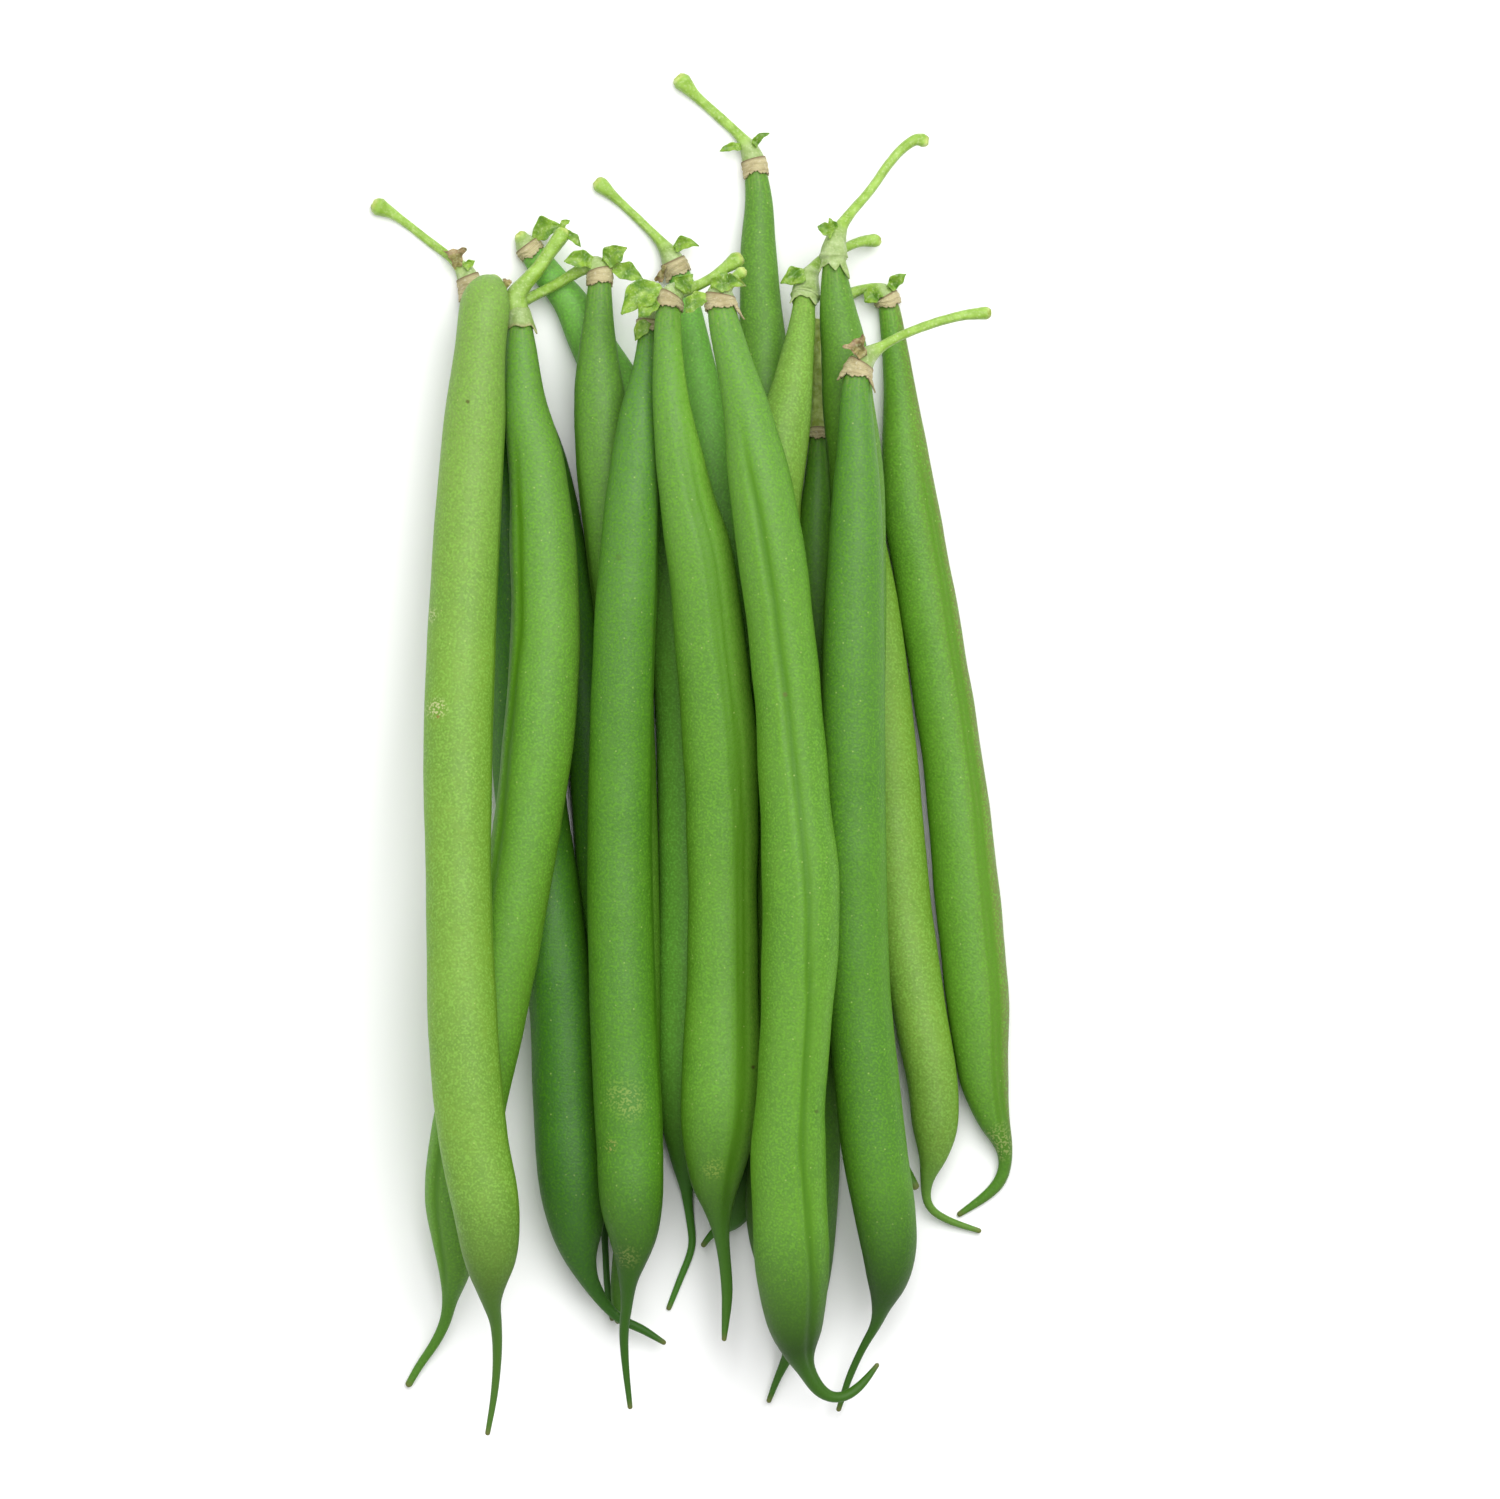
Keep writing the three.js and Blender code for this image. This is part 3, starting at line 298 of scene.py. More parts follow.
# ---- Pods ----
# A bean pod is two fleshy walls joined along two seams, with the seeds swelling its flanks a
# little, a narrow neck at the stalk end and a thin curved beak at the other. The skin is satin,
# finely grained like velvet, and dotted with pale breathing pores.
POD_SPACING = 0.55 * MM
POD_SIDES = 56
POD_SOFTNESS = 0.9 * MM  # how far its bends and swellings are smoothed along it
TUCKED_NARROWER = 0.86  # the neck runs up inside the dry ring and the cup
THINNEST_BEAK = 0.25 * MM
PLUMPER = 0.14  # millimetres that the pods press out against one another
SQUEEZED = {"01": 0.3, "04": 0.3, "05": 0.35, "06": 0.2, "09": 0.3}  # the same, under other pods
PLUMP_RADIUS = 3 * MM  # where a pod is thinner, it presses out less
TIP_TURNS = (25, 50, 72)  # degrees round the rounded tip of the beak
SEAM_WIDTH = 0.38 * MM  # of its fine line; the valley and the rib are told in these
FAR_SEAM = 0.6  # how deep the seam on the other side is, against this one
SHALLOW_SEAM = 0.16  # millimetres, below which the seam line fades
SEAM_WAVES = ((31.0, 1.3), (13.0, 0.6))  # how it wanders: millimetres, degrees
BODY_RADIUS = 2.2 * MM  # where a pod is thinner, its seams and lumps are fainter
SEED_SPACING = 13.0 * MM
SEED_LAG = 0.37  # in spacings, from one bean to the next in number
SEED_SWELL = 0.12 * MM
SEED_RADIUS = 2.7 * MM  # only a pod thicker than this shows its seeds
SEED_FADE = 0.9 * MM  # and by this much more, in full
LUMP_SIZE = 9.0 * MM
LUMP_HEIGHT = 0.11 * MM
STREAKY_NECK = 16.0 * MM
SMOOTH_NECK = 14.0 * MM  # the seams show only further down
BLOOM_REACH = 60.0 * MM
# how far up from the tip the lower end darkens: partly its own darker green, partly painted shade
DARKER_END = 34.0 * MM
BEAK_RADIUS = 2.4 * MM  # past its thickest place, a pod thinner than this turns into the beak
BEAK_FADE = 1.6 * MM
DRY_TIP = 1.2 * MM
PORE_SPACING = 1.1 * MM

# six greens of bean pods, from the riper, paler ones to the younger, darker ones; the bright one is
# painted light, lighter than a pod's own green, for pods 05 and 09 that lie in shade under others,
# and the young one is partly painted shade, darker for pods 01 and 04 that lie low under others
GREENS = {
    "pale": "689428",
    # painted light: lighter, for pods that lie in shade under others
    "bright": "60a028",
    "fresh": "548818",
    "leafy": "508018",
    "deep": "487c10",
    # partly painted shade: darker, for pods that lie low under others
    "young": "386c08",
}
# each pod's green and slot; where its seam runs, in degrees round the pod from its right, over the
# top, at even places from the neck to the beak; how strong the pale bloom on its upper part is, and
# how dark its lower end is painted, partly its own darker green and partly painted shade where the
# tapering end turns away from the light
PODS = {
    "01": ("young", "pod_mid", (188,), 0.3, 0.4),
    "02": ("pale", "pod_light", (8,), 1.0, 1.0),
    "03": ("fresh", "pod_fresh", (130, 134, 146, 134, 130, 126), 0.9, 0.15),
    "04": ("young", "pod_mid", (175,), 0.3, 0.6),
    "05": ("bright", "pod_mid", (20,), 1.0, 1.0),
    "06": ("leafy", "pod_deep", (165,), 0.6, 0.4),
    "07": ("deep", "pod_deep", (12,), 1.0, 1.0),
    "08": ("fresh", "pod_fresh", (75, 72, 74, 62, 56, 60, 50), 0.8, 0.8),
    "09": ("bright", "pod_deep", (20,), 0.9, 0.9),
    "10": ("fresh", "pod_fresh", (114, 102, 88, 71, 60, 50), 0.8, 1.0),
    "11": ("leafy", "pod_mid", (0,), 0.1, 0.8),
    "12": ("pale", "pod_mid", (10,), 0.2, 0.5),
    "13": ("deep", "pod_deep", (180,), 0.0, 0.8),
    "14": ("leafy", "pod_mid", (175,), 0.1, 0.5),
    "15": ("deep", "pod_deep", (176,), 0.7, 1.0),
    "16": ("pale", "pod_light", (0,), 0.0, 0.25),
    "17": ("fresh", "pod_fresh", (44, 46, 49, 54, 57, 60), 0.0, 0.15),
}
SEAM_DEPTH = 0.08  # millimetres
DEEPER_SEAMS = {"03": 0.15, "08": 0.1, "10": 0.26, "17": 0.1}
# how far the two grooves beside a raised seam stand from its middle, in millimetres, at even places
RAISED_SEAMS = {"08": (0.7, 0.6, 0.0), "17": (0.55,)}

# some pods are flushed brown or bleached along their right flank, and pod 08's right flank is
# painted light, a paler green where it lies in shade under its neighbour: how strongly, and the colour
FLANK_FLUSH_AND_LIGHT = {"17": (0.5, "77623a"), "03": (0.12, "6c6a3c"), "08": (0.7, "86bd3a")}

# scuffs and bruises on the skin: x, y and radius in millimetres, strength, colour, and whether it
# is a crust of specks
MARKS = {
    "02": [(-30.5, 45.8, 0.35, 0.8, "4f4f1c", 0), (-35.2, 17.8, 1.1, 0.6, "b9c08a", 1),
           (-34.5, 5.5, 1.7, 0.6, "cfc79a", 1), (-34.3, 4.4, 0.3, 0.8, "8a6a34", 0)],
    "07": [(-10.6, 25.3, 0.5, 0.5, "4c6a24", 0), (-6.6, 15.8, 0.7, 0.4, "6d7a35", 1),
           (-9.6, -46.0, 3.2, 0.24, "b3ac6e", 1), (-11.6, -51.9, 1.1, 0.6, "a89a5c", 1),
           (-9.6, -66.5, 2.0, 0.16, "b3ac6e", 1)],
    "08": [(7.0, -41.6, 0.35, 0.8, "4f4a1c", 0), (1.8, -55.0, 1.8, 0.24, "a5a857", 1)],
    "10": [(11.2, 7.3, 0.4, 0.6, "5a5a22", 0), (15.3, -47.3, 0.35, 0.6, "3f4a18", 0)],
    "17": [(39.4, -52.0, 3.0, 0.34, "b7b27a", 1)],
}


def linear(colour):
    """A colour given as sRGB hex, as the linear values that a shader takes."""
    parts = [int(colour[i:i + 2], 16) / 255 for i in (0, 2, 4)]
    return [p / 12.92 if p <= 0.04045 else ((p + 0.055) / 1.055) ** 2.4 for p in parts] + [1.0]


def fill(tree, node, inputs):
    """Fill a node's inputs, in order or by name, with values or with the outputs of other nodes."""
    for socket, value in inputs.items() if isinstance(inputs, dict) else enumerate(inputs):
        if isinstance(value, bpy.types.NodeSocket):
            tree.links.new(value, node.inputs[socket])
        else:
            node.inputs[socket].default_value = value


def add(tree, kind, inputs=(), out=0, **settings):
    """Add a node with its settings, fill its inputs, and give one of its outputs."""
    made = tree.nodes.new(kind)
    for key, value in settings.items():
        setattr(made, key, value)
    fill(tree, made, inputs)
    return made.outputs[out] if made.outputs else made


def layered(tree, colour, layers):
    """Lay colours over one: what drives each, from where to where, how strongly, and the colour."""
    for share, low, high, strength, over in layers:
        share = add(tree, "ShaderNodeMapRange", (share, low, high, 0.0, strength))
        colour = add(tree, "ShaderNodeMix", {0: share, 6: colour, 7: over}, out=2, data_type="RGBA")
    return colour


def new_material(name):
    """A material with its tree of nodes and its shader."""
    material = bpy.data.materials.new(name)
    material.use_nodes = True
    return material, material.node_tree, material.node_tree.nodes["Principled BSDF"]


def sweep_tree():
    """Nodes that grow a skin round a course whose points carry its girth and the seam's place."""
    tree = bpy.data.node_groups.new("Skin grown along a course", "GeometryNodeTree")
    for name, kind in (
        ("Geometry", "Geometry"), ("Material", "Material"), ("Sides", "Int"),
        ("Height over width", "Float"), ("Ridges", "Float"), ("Ridge height", "Float"),
        ("Lump size", "Float"), ("Lump height", "Float"),
    ):
        tree.interface.new_socket(name, in_out="INPUT", socket_type="NodeSocket" + kind)
    tree.interface.new_socket("Geometry", in_out="OUTPUT", socket_type="NodeSocketGeometry")
    given = tree.nodes.new("NodeGroupInput").outputs
    carried = {
        key: add(tree, "GeometryNodeInputNamedAttribute", {"Name": key}, data_type="FLOAT")
        for key in ("girth", "around", "seam", "spread", "groove", "swell", "lumps")}

    # a unit circle that knows its own angle is drawn along the course
    course = add(tree, "GeometryNodeMeshToCurve", {"Mesh": given["Geometry"]})
    course = add(tree, "GeometryNodeSetCurveNormal", {"Curve": course}, mode="Z_UP")
    circle = add(tree, "GeometryNodeCurvePrimitiveCircle",
                 {"Resolution": given["Sides"], "Radius": 1.0})
    for name, kind, value in (
        ("around", "FLOAT", add(tree, "GeometryNodeSplineParameter", out="Factor")),
        ("section", "FLOAT_VECTOR", add(tree, "GeometryNodeInputPosition")),
    ):
        circle = add(tree, "GeometryNodeStoreNamedAttribute",
                     {"Geometry": circle, "Name": name, "Value": value}, data_type=kind, domain="POINT")
    squashed = add(tree, "ShaderNodeCombineXYZ", (1.0, given["Height over width"], 1.0))
    circle = add(tree, "GeometryNodeTransform", {"Geometry": circle, "Scale": squashed})
    skin = add(tree, "GeometryNodeCurveToMesh",
               {"Curve": course, "Profile Curve": circle, "Scale": carried["girth"], "Fill Caps": True})

    # the seam is a fine line in a wide soft valley, with a rib to one side; each is told by its place
    # off the middle, its reach in seam widths, and its rise as a share of the groove's depth
    circumference = add(tree, "ShaderNodeMath", (carried["girth"], 2 * math.pi), operation="MULTIPLY")
    relief = 0.0
    for turn, share in ((0.0, 1.0), (0.5, FAR_SEAM)):
        middle = add(tree, "ShaderNodeMath", (carried["seam"], turn), operation="ADD")
        away = carried["around"]
        for operation, *others in (
                ("SUBTRACT", middle), ("WRAP", 0.5, -0.5), ("MULTIPLY", circumference)):
            away = add(tree, "ShaderNodeMath", (away, *others), operation=operation)
        either = add(tree, "ShaderNodeMath", (away,), operation="ABSOLUTE")
        for distance, place, reach, rise in (
            (either, carried["spread"], 2.0, -0.9), (either, 0.0, 6.5, -0.6),
            (away, 3.0 * SEAM_WIDTH, 2.6, 0.5),
        ):
            off = add(tree, "ShaderNodeMath", (distance, place), operation="SUBTRACT")
            off = add(tree, "ShaderNodeMath", (off,), operation="ABSOLUTE")
            part = add(tree, "ShaderNodeMapRange", (off, reach * SEAM_WIDTH, 0.0, 0.0, rise * share),
                       interpolation_type="SMOOTHERSTEP")
            relief = add(tree, "ShaderNodeMath", (relief, part), operation="ADD")

    # the seeds swell the flanks, a stalk has ridges, and nothing grows quite even
    flanks = ridges = carried["around"]
    for operation, *others in (("SUBTRACT", carried["seam"]), ("MULTIPLY", 2 * math.pi), ("SINE",),
                               ("ABSOLUTE",)):
        flanks = add(tree, "ShaderNodeMath", (flanks, *others), operation=operation)
    for operation, *others in (("MULTIPLY", given["Ridges"]), ("MULTIPLY", 2 * math.pi), ("SINE",)):
        ridges = add(tree, "ShaderNodeMath", (ridges, *others), operation=operation)
    noise = add(tree, "ShaderNodeMath", (1.0, given["Lump size"]), operation="DIVIDE")
    noise = add(tree, "ShaderNodeTexNoise", {"Scale": noise, "Detail": 2.0})
    lumps = add(tree, "ShaderNodeMapRange", (noise, 0.5, 1.0, 0.0, given["Lump height"]), clamp=False)
    rise = 0.0
    for shape, size in ((relief, carried["groove"]), (flanks, carried["swell"]),
                        (ridges, given["Ridge height"]), (lumps, carried["lumps"])):
        rise = add(tree, "ShaderNodeMath", (shape, size, rise), operation="MULTIPLY_ADD")
    normal = add(tree, "GeometryNodeInputNormal")
    rise = add(tree, "ShaderNodeVectorMath", {0: normal, "Scale": rise}, operation="SCALE")
    skin = add(tree, "GeometryNodeSetPosition", {"Geometry": skin, "Offset": rise})

    # its own weight presses it flat on the table
    pressed = add(tree, "ShaderNodeVectorMath", {0: add(tree, "GeometryNodeInputPosition"),
                                                 1: (-1.0, -1.0, 0.0)}, operation="MAXIMUM")
    skin = add(tree, "GeometryNodeSetPosition", {"Geometry": skin, "Position": pressed})
    skin = add(tree, "GeometryNodeStoreNamedAttribute",
               {"Geometry": skin, "Name": "relief", "Value": relief}, data_type="FLOAT", domain="POINT")
    skin = add(tree, "GeometryNodeSetShadeSmooth", {"Geometry": skin})
    skin = add(tree, "GeometryNodeRealizeInstances", {"Geometry": skin})
    skin = add(tree, "GeometryNodeSetMaterial", {"Geometry": skin, "Material": given["Material"]})
    add(tree, "NodeGroupOutput", (skin,))
    return tree


skin_nodes = sweep_tree()


def lengths_along(stations):
    """How far along a run each of its stations is."""
    return summed(np.linalg.norm(np.diff(stations[:, :3], axis=0), axis=1))


def resampled(stations, spacing, softness):
    """x, y, z and radius at an even spacing along stations, softened over a distance."""
    length = lengths_along(stations)
    places = np.linspace(0, length[-1], max(8, round(length[-1] / spacing)))
    spread = min(int(3 * softness / spacing), len(places) - 2)
    weights = np.exp(-0.5 * (np.arange(-spread, spread + 1) * spacing / softness) ** 2)
    even = np.column_stack([np.interp(places, length, column) for column in stations.T])
    fringed = np.vstack([2 * even[0] - even[spread:0:-1], even,
                         2 * even[-1] - even[-2:-spread - 2:-1]])
    return np.column_stack([
        np.convolve(column, weights / weights.sum(), "valid") for column in fringed.T])


def rounded_end(stations, turns, flare=1.0):
    """Stations round the blunt end of a run, after its last one."""
    end, radius = stations[-1, :3], stations[-1, 3]
    way = end - stations[-3, :3]
    way /= np.linalg.norm(way)
    return np.array([
        [*(end + way * radius * math.sin(math.radians(turn))),
         radius * flare * math.cos(math.radians(turn))] for turn in turns])


def carry(mesh, given):
    """Let the points of a mesh carry named numbers."""
    for key, value in given.items():
        layer = mesh.attributes.new(key, "FLOAT", "POINT")
        values = np.broadcast_to(value, len(mesh.vertices)).astype(np.float32)
        layer.data.foreach_set("value", values)


def grown(name, stations, carried, sizes):
    """A plain mesh object, grown along stations, from what its points carry and its sizes."""
    mesh = bpy.data.meshes.new(name)
    mesh.from_pydata(stations[:, :3].tolist(), [(i, i + 1) for i in range(len(stations) - 1)], [])
    carry(mesh, {"girth": stations[:, 3], "seam": 0.0, "spread": 0.0, "groove": 0.0, "swell": 0.0,
                 **carried})
    piece = placed(name, mesh)
    modifier = piece.modifiers.new("skin", "NODES")
    modifier.node_group = skin_nodes
    for socket in skin_nodes.interface.items_tree:
        if socket.in_out == "INPUT" and socket.name in sizes:
            modifier[socket.identifier] = sizes[socket.name]
    evaluated = piece.evaluated_get(bpy.context.evaluated_depsgraph_get())
    skin = bpy.data.meshes.new_from_object(evaluated)
    piece.modifiers.remove(modifier)
    piece.data = skin
    return piece


def pod_skin(name, green, marks):
    """The skin of a raw green bean: a satin cuticle over juicy flesh, freckled with pale pores."""
    material, tree, shader = new_material(f"green bean skin {name}")
    place = add(tree, "ShaderNodeTexCoord", out="Object")
    section = add(tree, "ShaderNodeAttribute", out="Vector", attribute_name="section")
    across, up = (add(tree, "ShaderNodeSeparateXYZ", (section,), out=i) for i in (0, 1))
    along, neck, relief, seam, bloom, lower, beak, tip = (
        add(tree, "ShaderNodeAttribute", out="Fac", attribute_name=key)
        for key in ("along", "neck", "relief", "seam_shows", "bloom", "lower", "beak", "tip"))
    # patterns of the skin, with their sizes in millimetres; the finest two are as coarse as it needs
    # for them to show
    clouds, mottle, velvet, fine = (
        add(tree, "ShaderNodeTexNoise", {"Vector": place, "Scale": 1 / (size * MM), "Detail": detail})
        for size, detail in ((15.0, 2.0), (2.4, 3.0), (0.48, 1.0), (0.3, 0.0)))

    # what runs lengthwise or across on the skin is drawn out along the pod, or round it
    streaks, ripples = (
        add(tree, "ShaderNodeTexNoise", {
            "Vector": add(tree, "ShaderNodeCombineXYZ", (
                add(tree, "ShaderNodeMath", (across, round_scale), operation="MULTIPLY"),
                add(tree, "ShaderNodeMath", (up, round_scale), operation="MULTIPLY"),
                add(tree, "ShaderNodeMath", (along, 1 / (long_scale * MM)), operation="MULTIPLY"))),
            "Scale": 1.0, "Detail": 3.0})
        for round_scale, long_scale in ((4.2, 4.0), (0.7, 2.2)))
    streaky = add(tree, "ShaderNodeMath", (streaks, neck), operation="MULTIPLY")
    line = add(tree, "ShaderNodeMath", (relief, seam), operation="MULTIPLY")

    # a pale pore here and there
    pores, chance = (
        add(tree, "ShaderNodeTexVoronoi", {"Vector": place, "Scale": 1 / PORE_SPACING}, out=out)
        for out in ("Distance", "Color"))
    chance = add(tree, "ShaderNodeSeparateColor", (chance,))
    chance = add(tree, "ShaderNodeMapRange", (chance, 0.45, 0.8, 0.0, 0.4))
    pores = add(tree, "ShaderNodeMapRange", (pores, 0.14, 0.06, 0.0, chance))

    def tone(red, green, blue):
        return [*np.clip(base * (red, green, blue), 0, 1), 1.0]

    # from the flesh up: what drives each layer, from where to where, how strongly, its colour
    base = np.array(linear(green)[:3])
    # the pale waxy colour of the bloom, which serves also as painted sheen on the side facing up
    waxy = [*np.clip(base * (1.4, 1.1, 1.5) + (0, 0, 0.04), 0, 1), 1.0]
    # the flank colour is a real flush or bleaching, and painted light on pod 08's shaded flank
    flank_share, brown = FLANK_FLUSH_AND_LIGHT.get(name, (0.0, green))
    layers = [
        (clouds, 0.35, 0.65, 1.0, tone(1.16, 1.1, 1.02)),
        (mottle, 0.45, 0.75, 0.45, tone(1.4, 1.18, 1.0)),
        (bloom, 0.0, 1.0, 1.0, waxy),
        (streaky, 0.45, 0.75, 0.5, linear("a9b95c")),
        # flushed or bleached right flank, and painted light on pod 08's right flank
        (across, -0.1, -0.95, flank_share, linear(brown)),
        # painted sheen: paler and bluer where the skin faces up to the light
        (up, -0.3, -1.0, 0.42, waxy),
        (velvet, 0.52, 0.28, 0.35, tone(0.66, 0.76, 0.6)),
        # pale bluish specks: the skin's grain, partly painted as glints of light on it
        (fine, 0.48, 0.7, 0.85, tone(1.5, 1.4, 2.6)),
        # painted highlight on the seam's rib, where its crest catches the light; the valley darker and
        # less blue, partly the seam's own darker line and partly painted shade in the valley
        (line, 0.03, 0.3, 0.5, tone(1.3, 1.2, 1.0)),
        (line, -0.15, -0.9, 0.9, tone(0.88, 0.9, 0.4)),
        (line, -0.8, -1.5, 0.5, tone(0.45, 0.6, 0.15)),
        (pores, 0.0, 1.0, 1.0, linear("b9cf74")),
        # painted shade in part: the lower end darker where it turns away from the light, over its own
        # green
        (lower, 0.0, 1.0, 1.0, tone(0.22, 0.26, 0.2)),
        (beak, 0.0, 1.0, 0.6, tone(0.55, 0.65, 0.9)),
        (tip, 0.0, 1.0, 0.8, linear("6f6b3c")),
    ]
    for mark_x, mark_y, radius, strength, tint, crusty in marks:
        middle = (mark_x * MM + shift[0], mark_y * MM + shift[1], 0)
        flat = add(tree, "ShaderNodeVectorMath", (place, (1, 1, 0)), operation="MULTIPLY")
        away = add(tree, "ShaderNodeVectorMath", (flat, middle), out="Value", operation="DISTANCE")
        away = add(tree, "ShaderNodeMath", (mottle, radius * MM, away), operation="MULTIPLY_ADD")
        spot = add(tree, "ShaderNodeMapRange", (away, 1.5 * radius * MM, 0.9 * radius * MM))
        if crusty:
            grains = add(tree, "ShaderNodeMapRange", (fine, 0.5, 0.62))
            spot = add(tree, "ShaderNodeMath", (spot, grains), operation="MULTIPLY")
        layers.append((spot, 0.0, 1.0, strength, linear(tint)))
    colour = layered(tree, tone(0.9, 0.93, 0.92), layers)

    # the grain glints in the light, over faint ripples across the pod
    height = add(tree, "ShaderNodeMath", (velvet, 0.35, ripples), operation="MULTIPLY_ADD")
    bump = add(tree, "ShaderNodeBump", {"Strength": 0.6, "Distance": 0.12 * MM, "Height": height})
    bump = add(tree, "ShaderNodeBump",
               {"Strength": 0.5, "Distance": 0.05 * MM, "Height": fine, "Normal": bump})
    rough = add(tree, "ShaderNodeMapRange", (mottle, 0.3, 0.7, 0.48, 0.58))
    fill(tree, shader, {
        "Base Color": colour, "Normal": bump, "Roughness": rough, "Specular IOR Level": 0.3,
        "Subsurface Weight": 0.06, "Subsurface Radius": (0.6, 1.0, 0.25),
        "Subsurface Scale": 1.0 * MM})
    return material


for name, (green, slot, seams, bloom, dark) in PODS.items():
    bean = beans[name]
    course, neck = bean["course"], bean["neck"]
    covered = course[bean["rim"]:neck].copy()
    covered[:, 3] = np.minimum(covered[:, 3], course[neck, 3]) * TUCKED_NARROWER
    pod = np.vstack([covered[::3], course[neck:]])
    pod = resampled(pod, POD_SPACING, POD_SOFTNESS)
    plumper = SQUEEZED.get(name, PLUMPER) * MM * np.clip(pod[:, 3] / PLUMP_RADIUS, 0, 1) ** 2
    pod[:, 3] = np.maximum(pod[:, 3], THINNEST_BEAK) + plumper
    pod = np.vstack([pod, rounded_end(pod, TIP_TURNS)])

    length = lengths_along(pod)
    radius, left = pod[:, 3], length[-1] - length
    after = length > length[np.argmax(radius)]
    body = np.clip(radius / BODY_RADIUS, 0, 1)
    seam, spread = (
        np.interp(length / length[-1], np.linspace(0, 1, len(given)), given)
        for given in (seams, RAISED_SEAMS.get(name, (0.0,))))
    for wave, turn in SEAM_WAVES:
        seam += turn * np.sin(2 * math.pi * length / (wave * MM) + int(name))
    depth = DEEPER_SEAMS.get(name, SEAM_DEPTH)
    seeds = 0.5 - 0.5 * np.cos(2 * math.pi * (length / SEED_SPACING + int(name) * SEED_LAG))
    smooth_neck = np.clip((length - SMOOTH_NECK) / SMOOTH_NECK, 0, 1)
    full = np.clip((radius - SEED_RADIUS) / SEED_FADE, 0, 1)
    piece = grown(
        f"bean_{name}", pod,
        {"seam": (seam - 180) / 360, "spread": spread * MM,
         "groove": depth * MM * body * smooth_neck,
         "swell": SEED_SWELL * full * seeds, "lumps": body, "along": length,
         "seam_shows": body * smooth_neck * min(1, depth / SHALLOW_SEAM),
         "neck": np.clip(1.15 - length / STREAKY_NECK, 0, 1),
         "bloom": bloom * np.clip(1 - length / BLOOM_REACH, 0, 1),
         # partly painted shade: darker towards the tip, where the pod turns away from the light
         "lower": dark * np.clip(2 - 2 * left / DARKER_END, 0, 1),
         "beak": np.clip((BEAK_RADIUS - radius) / BEAK_FADE, 0, 1) * after,
         "tip": np.clip(1 - left / DRY_TIP, 0, 1)},
        {"Material": pod_skin(name, GREENS[green], MARKS.get(name, [])), "Sides": POD_SIDES,
         "Height over width": POD_HEIGHT, "Lump size": LUMP_SIZE, "Lump height": LUMP_HEIGHT})
    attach(piece, "root")
    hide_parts(f"pod_{name}")


# ---- Dry rings ----
# What is left of the flower dries to a papery band, which stays on round the neck of many beans
# just below the cup. It is thin, creased round about, and torn along its lower edge.
# length, and where flaps stick out: degrees round the neck, half width in degrees, length and
# stand-off; lengths in millimetres
RINGS = {
    "01": (2.0, [(150, 30, 0.9, 0.2)]),
    "05": (1.15, [(90, 30, 0.3, 0.1)]),
    "06": (1.6, [(120, 40, 0.2, 0.1)]),
    "07": (1.1, [(60, 40, 0.2, 0.1)]),
    "08": (1.5, [(60, 50, 0.2, 0.1)]),
    "09": (1.7, [(165, 25, 0.8, 0.4)]),
    "10": (1.55, [(2, 20, 2.1, 0.7)]),
    "11": (1.75, [(150, 30, 0.5, 0.1)]),
    "13": (1.0, [(90, 50, 0.2, 0.1)]),
    "15": (1.7, [(176, 22, 0.7, 0.6), (6, 20, 2.2, 0.6)]),
    "17": (0.9, [(90, 50, 0.2, 0.1)]),
}
RING_COLUMNS = 120
RING_ROWS = 22
RING_THICKNESS = 0.22 * MM
RING_STAND_OFF = 0.15  # millimetres, as the next three
RING_OVERLAP = 0.35  # how far it reaches up over the rim of the cup
RING_FLARE = 0.05
CREASE_DEPTH = 0.06
FLAP_SHARPNESS = 1.4  # how soon a flap narrows away from its middle
FRINGE = ((0.13, 2), (0.09, 5), (0.08, 9), (0.07, 17), (0.05, 29))  # height and number of its waves


def framed(course, rim):
    """Lengths from the rim, and the directions along, beside and over a course."""
    ahead = np.gradient(course[:, :3], axis=0)
    ahead /= np.linalg.norm(ahead, axis=1)[:, None]
    beside = np.column_stack([-ahead[:, 1], ahead[:, 0], np.zeros(len(ahead))])
    beside /= np.linalg.norm(beside, axis=1)[:, None]
    length = lengths_along(course)
    return length - length[rim], np.column_stack([course, beside, np.cross(ahead, beside)])


def round_about(bean, lengths, turns, stand_off):
    """Points round a bean, at a length from the rim and at an angle, standing off its surface."""
    length, frame_rows = framed(bean["course"], bean["rim"])
    x = np.array([np.interp(lengths, length, column) for column in frame_rows.T])
    x = np.moveaxis(x, 0, -1)
    out = x[..., 4:7] * np.cos(turns)[..., None] + x[..., 7:10] * np.sin(turns)[..., None]
    return x[..., :3] + out * (x[..., 3] + stand_off)[..., None]


